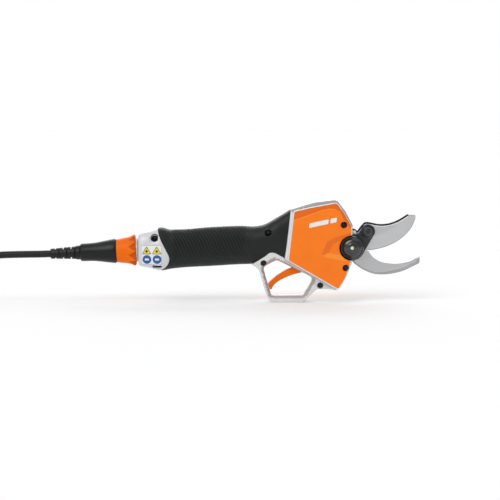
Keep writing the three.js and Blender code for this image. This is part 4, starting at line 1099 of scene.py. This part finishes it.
def guard_sink(points):
    """How far the guard sinks: narrow below, wide at its cheeks, and flaring round the finger hole."""
    inner, outer = dense(fillet(FINGER_HOLE), 1.2), dense(fillet(FLARED_HOLE), 1.2)
    half = np.interp(points[:, 1], (0, 34, 39, 46, 56), (BOW_HALF, BOW_HALF, 12.1, 15.4, CHEEK_HALF))
    half = np.where(points[:, 0] > CHEEKS_FROM, np.minimum(half, BOW_HALF), half)
    near, far = distance_to(points, [inner]), distance_to(points, [outer])
    share = near / np.maximum(near + far, 1e-6)
    half = np.where(contains(points, outer), HOLE_HALF + (half - HOLE_HALF) * share, half)
    return CHEEK_HALF - half


def make_guard():
    saddle = [(x, z - 0.35) for x, z in reversed(through(SADDLE, 1.5))]
    outer = fillet([(54.4, 46.9), (112.8, 12.8, 3.5), (104.3, 14.4, 4), (89.6, 14.8, 6), (74.2, 0, 5),
                    (39.0, 0, 6), (33.4, 10.5, 8), (25.6, 36.6, 7), (18.4, 41.6)], 6)
    flare = dense(fillet(FLARED_HOLE), 1.2)

    def paint(middles):
        """The flare round the finger hole gets painted shade."""
        return contains(middles[:, [0, 2]], flare) * 1

    # The guard is in the paler silver, painted light, and its flare in a darker one, painted shade.
    made = plate("bow_guard", saddle + list(outer), (-CHEEK_HALF, CHEEK_HALF), [SILVER_PAINTED_LIGHT, SILVER_BEVEL_SHADE],
                 "housing", holes=[fillet(FINGER_HOLE)], rim=1.0, spacing=2.0, edge=1.2, front=guard_sink,
                 back=guard_sink, paint=paint, stands_for=["trigger_guard"], slot="silver_plastic", sharp=30)
    slot = cutter([(53, 30), (84, 26.8), (84, 50), (53, 44.5)], TRIGGER_ROOM)
    nose_room = [(TRIGGER_PIVOT.x, TRIGGER_PIVOT.z)] + arc_points(TRIGGER_PIVOT, NOSE_REACH, 189, 214, 2)
    carve(slot, cutter(nose_room, TRIGGER_ROOM), union=True)
    wells = [rod(WELL, (-30, low_mm(f"screw_{n}").y + 2.4), SCREWS[n]) for n in GUARD_SCREWS]
    carve(made, slot, *wells, sharp=30)


def make_screws():
    """Black pan heads with a six-lobed socket, at the bottom of their holes, and their shanks."""
    head = softened([(-0.2, 0), (-0.2, HEAD_RADIUS), (1.9, HEAD_RADIUS), (2.3, 2.1), (2.3, 1.55), (0.9, 1.4),
                     (0.9, 0)],
                    0.3, 3)
    shank = [(0, 0), (0, 1.5), (15, 1.5), (16, 1.1), (16, 0)]
    for name, centre in SCREWS.items():
        node = f"screw_{name}"
        top = low_mm(node).y
        turned(f"head_{node}", head, DARK_STEEL, "housing", (centre.x, top + 2.3, centre.z), sides=48,
               modulate=six_lobes(0.13, 1.2, 1.7), slot="dark_steel")
        turned(f"shank_{node}", shank, DARK_STEEL, "housing", (centre.x, top + 2.5, centre.z), LEFT, sides=24,
               stands_for=[node], slot="dark_steel")


# ---------------------------------------------------------------- printed marks
def surface_patch(name, border, height, material):
    """A thin printed mark on the rear shell's right side."""
    skin(name, to_pattern(dense(border, 0.8)), (-height, 0.3), -1, material, 0.03, 1.5, edge=1.2)


def make_label():
    """A plain plate with two triangles over two discs, each with a dot or a stripe in it."""
    surface_patch("label_outline", rounded_box((-102.4, 42.3), (-80.2, 63.2), 1), 0.06, LABEL_GREY)
    surface_patch("label_plate", rounded_box((-102.1, 42.6), (-80.5, 62.9), 1), 0.10, LABEL_WHITE)
    for i, x in enumerate((-96.5, -85.4), 1):
        outer = [(x - 5.2, 53.5, 0.8), (x + 5.2, 53.5, 0.8), (x, 62.2, 0.8)]
        inner = [(x - 4.2, 54.1, 0.6), (x + 4.2, 54.1, 0.6), (x, 61.1, 0.6)]
        surface_patch(f"label_edge_{i}", fillet(outer, 3), 0.16, LABEL_BLACK)
        surface_patch(f"label_triangle_{i}", fillet(inner, 3), 0.22, LABEL_YELLOW)
        surface_patch(f"label_dot_{i}", circle(Vector((x, 0, 56.6)), 1.3, 16), 0.28, LABEL_BLACK)
        surface_patch(f"label_disc_{i}", circle(Vector((x + 0.3, 0, 47.8)), 4.8), 0.16, LABEL_BLUE)
        surface_patch(f"label_stripe_{i}", rounded_box((x - 1.9, 46.8), (x + 2.5, 48.9), 0.5), 0.24,
                      LABEL_WHITE)


def make_bars():
    """Two plain bars where a name would be, parallel to the cover's top edge."""
    lean = math.radians(12)
    start, along = np.array((80.4, 82.4)), np.array((math.cos(lean), math.sin(lean)))
    up = np.array((0.12, 0.99)) * 5.2
    for i, (a, b) in enumerate(((0.0, 21.5), (23.5, 30.5)), 1):
        corners = [start + a * along, start + b * along, start + b * along + up, start + a * along + up]
        plate(f"cover_bar_{i}", fillet([(*corner, 1.0) for corner in corners], 4),
              (-COVER_HALF - 0.12, -COVER_HALF + 0.3), PALE_PRINT, "housing", rim=0.05)


# ---------------------------------------------------------------- blades, arm, cap, trigger
HUB, CAP_RADIUS, BOLT_HOLE = 13.4, 13.0, 4.3
ARM_BOSS, LEVER = centre_mm("arm_screw"), centre_mm("lever_pin")
ARM_SCREW_HOLE = 1.8


def cutter_lines():
    """The cutting blade's spine, from the housing to the tip, then the tip and the edge back to the arm."""
    spine = [(124.0, 80.9), (126.6, 80.9)]
    spine += through([(126.6, 80.9), (129.6, 80.7), (132.2, 79.8), (134, 78.1)])[1:]
    spine += through([(134, 78.1), (138.4, 84), (141.7, 87.4), (145.5, 88)])[1:]
    spine += through([(145.5, 88), (150.5, 87), (156, 85.9), (161.5, 85.6), (168.1, 86.4), (174.7, 88.4),
                      (181.3, 91.6), (188.4, 96.2)])[1:]
    tip = [(189.4, 96.3), (196.5, 95.9)] + through([(196.5, 95.9), (198.0, 94.6), (197.8, 91)], 0.7)[1:]
    edge = through([(197.8, 91), (194.5, 83.3), (190.1, 77), (184.6, 71.5), (176.9, 66), (168.1, 61.6),
                    (159.3, 58.9), (150.5, 57.1), (145.4, 56.7)])[1:]
    return spine, tip, edge


def make_cutting_blade():
    rim, dark, bright = 1.3, 1.9, 2.7  # the spine's rounded rim, its band of painted shade and the strip of painted highlight beside that
    spine, tip, edge = cutter_lines()
    border = np.array(spine + tip + edge + [(138.6, 53.0), (127, 51.5), (120.5, 60), (121, 75)])
    spine_line, edge_line = np.array(spine), np.array(tip[-1:] + edge)
    y = sides_mm("cutting_blade")

    def grind(points):
        """A long bevel to the cutting edge, and a steep one at it."""
        to_edge = distance_open(points, edge_line)
        return 1.5 * np.clip(1 - to_edge / 15, 0, 1) + 0.9 * np.clip(1 - to_edge / 0.95, 0, 1)

    # The spine's rim gets painted shade, the strip beside it a painted highlight, and the steep bevel at the
    # edge painted shade.
    def paint(middles):
        to_spine, to_edge = (distance_open(middles[:, [0, 2]], line) for line in (spine_line, edge_line))
        return np.select([to_spine < dark, to_spine < bright, to_edge < RIM_ROWS[2] * rim], [1, 3, 2], 0)

    rows = [(inset(dense(border, 0.9), width), width) for width in (dark, bright)]
    stripes = [longest(row, distance_open(row, spine_line) < width + 0.03) for row, width in rows]
    made = plate("pruning_blade", border, y, [BLADE_STEEL, SPINE_SHADE, EDGE_SHADE_STEEL, STRIP_HIGHLIGHT_STEEL], "blade", rim=rim,
                 back_rim=0.1, spacing=2.2, edge=0.9, front=grind, creases=stripes, paint=paint, sharp=12,
                 stands_for=["cutting_blade"], slot="blade_steel")
    along = Vector((LEVER.x - PIVOT.x, 0, LEVER.z - PIVOT.z)).normalized()
    across = Vector((-along.z, 0, along.x)) * 4.8
    bar = [PIVOT + across, PIVOT - across, LEVER - across, LEVER - across * 0.6 + along * 3.6,
           LEVER + along * 4.8, LEVER + across * 0.6 + along * 3.6, LEVER + across]
    inside = (y[0] + 0.05, y[1])
    hub = plate("hub", circle(PIVOT, HUB, 72), inside, [BLADE_STEEL], None, rim=0.3, spacing=20)
    tail = plate("tail", [p.xz for p in bar], inside, [BLADE_STEEL], None, rim=0.2, spacing=20)
    carve(made, hub, tail, union=True, sharp=12)
    carve(made, rod(BOLT_HOLE, THROUGH, PIVOT), rod(2.5, THROUGH, LEVER),
          rod(ARM_SCREW_HOLE, THROUGH, ARM_BOSS), sharp=12)


def make_counter_blade():
    tip_x = high_mm("counter_blade").x
    inner = through([(146.9, 55.9), (148.3, 53), (152.7, 48.1), (159.3, 44.4), (165.9, 42.8), (174.7, 42),
                     (183.5, 42.6), (192.3, 44.9), (198.9, 48.1), (tip_x, 50.3)])
    outer = through([(201.8, 41.8), (194.5, 38.2), (186.8, 34.5), (178, 31.8), (168.1, 30.1), (159.3, 29.8),
                     (151.6, 30.8), (143.9, 33.8), (137.3, 37.4), (131.8, 41.5), (127.5, 46.2)])
    root = [(107, 46.5), (104.5, 49), (104.5, 57.5), (117, 61), (130, 60)]
    border = [(143.9, 56.2)] + inner + [(tip_x, 44.8), (202.9, 43.0)] + outer + root
    outer_line, inner_line = np.array([(tip_x, 44.8)] + outer), np.array(inner)
    y = sides_mm("counter_blade")

    def bevel_share(points):
        """1 on the outer edge, falling to 0 across the bevel's width."""
        width = np.interp(points[:, 0], (140, 152, 176, 200), (1.6, 2.3, 3.8, 3.6))
        return 1 - distance_open(points, outer_line) / width

    def bevel(points):
        return 1.6 * np.clip(bevel_share(points), 0, 1)

    def hollow(points):
        return 1.2 * np.clip(1 - distance_open(points, inner_line) / 3.0, 0, 1) + bevel(points)

    # The bevel on the right side gets painted shade.
    def paint(middles):
        return (bevel_share(middles[:, [0, 2]]) > 0) & (middles[:, 1] < y[0] + 2.5)

    made = plate("hook_blade", border, y, [BLADE_STEEL, BEVEL_SHADE_STEEL], "housing", rim=0.25, spacing=1.1,
                 edge=0.9, front=bevel, back=hollow, paint=paint, sharp=10, stands_for=["counter_blade"],
                 slot="blade_steel")
    hub = plate("hub", circle(PIVOT, HUB, 72), (y[0] + 0.02, y[1] - 0.02), [BLADE_STEEL], None, rim=0.3,
                spacing=20)
    carve(made, hub, union=True, sharp=10)
    screw_holes = [rod(1.9, THROUGH, centre_mm(f"counter_screw_{i}")) for i in (1, 2)]
    carve(made, rod(BOLT_HOLE, THROUGH, PIVOT), *screw_holes, sharp=10)


def make_arm():
    """The arm on the cutting blade, a hub behind the cap and a boss, and the boss's screw."""
    hub_radius, boss_radius = 14.6, 7.6
    border = arc_points(PIVOT, hub_radius, -22, -282) + [(133.6, 75.4), (135.6, 76.2), (137.2, 78.6)]
    border += arc_points(ARM_BOSS, boss_radius, 165, -27)
    y = sides_mm("blade_arm")

    def face(points):
        """A groove round the boss, and the web between boss and hub a little lower."""
        from_boss, from_hub = (np.hypot(points[:, 0] - p.x, points[:, 1] - p.z) for p in (ARM_BOSS, PIVOT))
        groove = np.exp(-((from_boss - 6.2) / 0.55) ** 2)
        return 0.7 * (groove + fade(from_boss, boss_radius, boss_radius + 1.2) * fade(from_hub, 13, 14.4))

    made = plate("arm_cover", border, y, [BLACK], "blade", rim=1.0, back_rim=0.2, spacing=0.9, edge=0.9,
                 front=face, stands_for=["blade_arm"], slot="black_plastic", sharp=40)
    carve(made, rod(BOLT_HOLE, THROUGH, PIVOT), rod(ARM_SCREW_HOLE, THROUGH, ARM_BOSS), sharp=40)
    top = (ARM_BOSS.x, y[0] - 0.55, ARM_BOSS.z)
    head = softened([(-1.5, 0), (-1.5, 4.7), (0.1, 4.7), (0.45, 4.3), (0.45, 3.9), (0.05, 3.75), (0.05, 2.2),
                     (-0.9, 2.0), (-0.9, 0)], 0.2, 3)
    turned("arm_screw_head", head, SCREW_BLACK, "blade", top, modulate=six_lobes(0.12, 1.8, 2.4),
           slot="dark_steel")
    # A black disc over the middle of the screw head: painted shade of its socket.
    socket = softened([(-1.0, 0), (-1.0, 3.0), (0.2, 3.0), (0.3, 2.7), (0.3, 0)], 0.1, 2)
    turned("arm_screw_socket_shade", socket, BLACK, "blade", top, sides=48, slot="dark_steel")
    turned("arm_screw_shank", [(0, 0), (0, 1.5), (7.6, 1.5), (7.6, 0)], DARK_STEEL, "blade",
           (ARM_BOSS.x, y[0] + 0.9, ARM_BOSS.z), LEFT, sides=32, stands_for=["arm_screw"], slot="dark_steel")


def make_cap():
    """The domed cap over the pivot bolt, stepped like a dust seal, and its pale plug."""
    cap = [(9, 7.6), (9, CAP_RADIUS), (13.6, CAP_RADIUS), (15.0, 12.6), (15.5, 11.9), (15.35, 11.3),
           (15.9, 11.0), (16.9, 10.2), (17.9, 8.9), (18.6, 7.3), (18.9, 6.2), (18.75, 5.8), (19.0, 5.5),
           (19.4, 4.2), (19.6, 3.0), (19.4, 2.3), (12.6, 2.3), (12.6, 7.6), (9, 7.6)]
    origin = (PIVOT.x, 0, PIVOT.z)
    turned("dust_cap", softened(cap, 0.25, 3), GLOSS_BLACK, "blade", origin, sides=128,
           stands_for=["pivot_cap"], slot="black_plastic")
    plug = softened([(12.8, 0), (12.8, 1.95), (19.7, 1.95), (20.2, 1.4), (20.4, 0)], 0.3, 3)
    turned("pale_plug", plug, CREAM, "blade", origin, sides=48, stands_for=["grease_nipple"],
           slot="cream_plastic")


def make_trigger():
    """The trigger, with its finger for the spring and a seat for the magnet."""
    outer = through([(76.0, 41.4), (65.8, 38.8), (60.3, 37.1), (54.8, 34.9), (49.3, 31.6), (43.8, 27.7),
                     (37.8, 22.4)])
    nose = through([(37.8, 22.4), (36.5, 20.6), (36.4, 18.6), (37.6, 15.6), (38.6, 13.9)], 0.8)[1:]
    inner = through([(40.2, 14.0), (42.0, 17.8), (47.1, 22.6), (54.8, 26.7), (63.6, 30.2), (76.0, 33.2)])
    border = outer + nose + inner + arc_points(TRIGGER_PIVOT, 5, -60, 60)[1:-1]
    y = (-6, 6)
    made = plate("trigger_lever", border, y, [NUT_ORANGE], "trigger", rim=1.5, spacing=2.0, edge=0.8,
                 sharp=40, stands_for=["trigger"], slot="orange_plastic")
    finger = plate("finger", [(73.6, 38), (73.6, 45.6), (79.6, 45.6), (82.4, 38)], y, [NUT_ORANGE], None,
                   rim=0.4, spacing=20)
    carve(made, finger, union=True)
    low, high = low_mm("trigger_magnet"), high_mm("trigger_magnet")
    left, right, bottom, top = low.x - 0.3, high.x + 0.3, low.z - 0.3, 60
    seat = cutter([(left, bottom), (right, bottom), (right, top), (left, top)], (-3.2, 3.2))
    carve(made, rod(2.3, THROUGH, TRIGGER_PIVOT), seat, sharp=40)


# ---------------------------------------------------------------- the cord's ends
FLUTE_CENTRE, FLUTE_RADIUS, FLUTE_START, FLUTE_FADE = 19.0, 4.5, -13.2, 2.5
TAPERED_BELOW = 12  # the nut's inside keeps radii under this round
DEEP = 9  # out of the flutes' reach


def nut_flutes(s, radius, angles):
    """Ten finger grooves, each a round scoop along the nut's wide end."""
    if radius < TAPERED_BELOW or s < FLUTE_START - FLUTE_FADE:
        return np.full_like(angles, radius)
    apart = (angles + math.pi / 10) % (math.pi / 5) - math.pi / 10
    off = FLUTE_CENTRE * np.sin(apart)
    depth = FLUTE_CENTRE * np.cos(apart) - np.sqrt(np.maximum(FLUTE_RADIUS**2 - off**2, 0))
    reach = 1 - fade(s, FLUTE_START - FLUTE_FADE, FLUTE_START)
    return np.where(np.abs(off) < FLUTE_RADIUS, np.minimum(radius, depth + DEEP * reach), radius)


def make_nut():
    outside = [(-24.4, 12.3), (-24.0, 12.7), (-22, 13.05), (-19, 13.5), (-16, 13.95), (-14, 14.25),
               (-12, 14.6), (-10.5, 15.0), (-9, 15.5), (-7.5, 16.2), (-6.2, 16.9), (-5.2, 17.3),
               (-4.4, 17.35), (-3.8, 16.9), (-3.3, 15.9), (-3.2, 15.2)]
    inside = [(-3.2, 10.8), (-18.6, 10.8), (-18.6, 8.1), (-24.4, 8.1), (-24.4, 12.3)]
    # The flutes get painted shade in the darker orange.
    axis_turned("ring_nut", outside + inside, [NUT_ORANGE, GROOVE_SHADE_ORANGE], "coupling", sides=240,
                modulate=nut_flutes, stands_for=["coupling_nut"], slot="orange_plastic", sharp=28)


def make_plug():
    body = [(-64.8, 4.4), (-64.8, 8.0), (-64.2, 8.7), (-63.0, 9.6), (-60, 9.75), (-54, 9.85), (-48, 10.2),
            (-43, 10.9), (-38, 11.75), (-33, 12.5), (-29, 13.1), (-26.6, 13.3), (-25.2, 13.1), (-24.7, 12.4),
            (-24.7, 7.7), (-5, 7.7), (-5, 0), (-58, 0), (-58, 4.4), (-64.8, 4.4)]
    axis_turned("plug_shell", body, RUBBER, "housing", sides=112, stands_for=["plug_body"],
                slot="black_rubber")


SLOTS, SLOT_PITCH, SLOT_WIDE, SLOT_FLOOR = 6, 4.3, 1.5, 4.5
SLOT_STARTS = [RELIEF_END + 4.6 + i * SLOT_PITCH for i in range(SLOTS)]


def relief_slots(s, radius, angles):
    """The strain relief's slots, cut from above and below and from the sides in turn."""
    for i, start in enumerate(SLOT_STARTS):
        if start < s < start + SLOT_WIDE:
            across = np.sin(angles) if i % 2 else np.cos(angles)
            return np.minimum(radius, SLOT_FLOOR / np.maximum(np.abs(across), 0.25))
    return np.full_like(angles, radius)


def make_strain_relief():
    profile = [(RELIEF_END, 0), (RELIEF_END, 5.1), (RELIEF_END + 0.5, 5.55), (SLOT_STARTS[0] - 0.25, 5.7)]
    for start in SLOT_STARTS:
        radius = 5.75 + 0.055 * (start - SLOT_STARTS[0])
        end = start + SLOT_WIDE
        profile += [(start - 0.02, radius), (start + 0.02, radius), (end - 0.02, radius),
                    (end + 0.02, radius), (end + 0.5, radius + 0.12)]
    profile += [(-69.6, 7.2), (-68.6, 7.55), (-67.0, 7.7), (-65.1, 7.7), (-65.1, 4.1), (-59, 4.1), (-59, 0)]
    axis_turned("relief_sleeve", profile, RUBBER, "housing", sides=96, modulate=relief_slots,
                stands_for=["strain_relief"], slot="black_rubber", sharp=35)


def plug_ridges(s, radius, angles):
    """Sixteen ridges' hollows along the battery plug's wide part."""
    if radius > 10.5 and 21 < s < 50:
        return radius - 0.5 * (0.5 + 0.5 * np.cos(16 * angles)) ** 3
    return np.full_like(angles, radius)


def make_battery_plug():
    """The plug at the cord's far end, and its strain relief."""
    away, up = (-1, 0, 0), (0, 0, 1)
    grip = softened([(18, 0), (18, 8.4), (20, 10.6), (34, 12.4), (50, 12.4), (52, 10.4), (56, 10.4),
                     (56, 8.6), (60, 8.6), (60, 7.2), (54.5, 7.0), (54.5, 0)], 0.7, 4)
    plug = turned("battery_connector", grip, BLACK, "housing", PLUG_BACK, away, up, sides=128,
                  modulate=plug_ridges, stands_for=["battery_plug"], slot="black_plastic")
    sleeve = [(0, 0), (0, 5.2)]
    for i in range(5):
        s, radius = 1.2 + 2.5 * i, 5.6 + 0.28 * i
        sleeve += [(s, radius), (s + 1.5, radius), (s + 1.7, radius - 0.8), (s + 2.3, radius - 0.8)]
    sleeve += [(14, 7.5), (17.7, 7.5), (17.7, 0)]
    relief = turned("connector_relief", sleeve, RUBBER, "housing", PLUG_BACK, away, up, sides=64,
                    stands_for=["battery_relief"], slot="black_rubber")
    return plug, relief


def make_tie():
    """A strap round the hank, closed on itself."""
    outline = fillet([(-34.4, 0.75, 3), (34.4, 0.75, 3), (34.4, 9.4, 4), (26.4, 17.9, 5), (6, 21.6, 8),
                      (-14, 23.6, 6), (-26.0, 19.4, 5), (-34.4, 10.4, 4)], 8)
    outline = dense(outline, 1.5)
    half, narrow, wide = TIE_THICK / 2, TIE_HALF - 0.5, TIE_HALF
    section = [(half, -narrow), (half, narrow), (0.4 * half, wide), (-0.4 * half, wide),
               (-half, narrow), (-half, -narrow), (-0.4 * half, -wide), (0.4 * half, -wide)]
    rows = []
    for out, x in section:
        loop = inset(outline, -out)
        rows.append(np.stack([np.full(len(loop), TIE_AT + x), loop[:, 0], loop[:, 1]], axis=1))
    n = len(outline)
    faces = []
    for i in range(len(rows)):
        after = (i + 1) % len(rows)
        faces += [(i * n + j, i * n + (j + 1) % n, after * n + (j + 1) % n, after * n + j) for j in range(n)]
    return piece("hank_strap", np.concatenate(rows), faces, STRAP, "housing", stands_for=["cord_tie"],
                 slot="tie_fabric", sharp=60)


# ---------------------------------------------------------------- the whole tool
make_camera()
make_stage()
make_lights()
dress_kept_nodes()

for side, name in ((-1, "right"), (1, "left")):
    make_rear_shell(side, name)
    make_core(side, name)
    make_grip(side, name)
    make_cover(side, name)
    make_frame(side, name)
make_guard()
make_wells()
make_screws()
make_label()
make_bars()
make_cutting_blade()
make_counter_blade()
make_arm()
make_cap()
make_trigger()
make_nut()
make_plug()
make_strain_relief()
make_cord(*make_battery_plug(), make_tie())
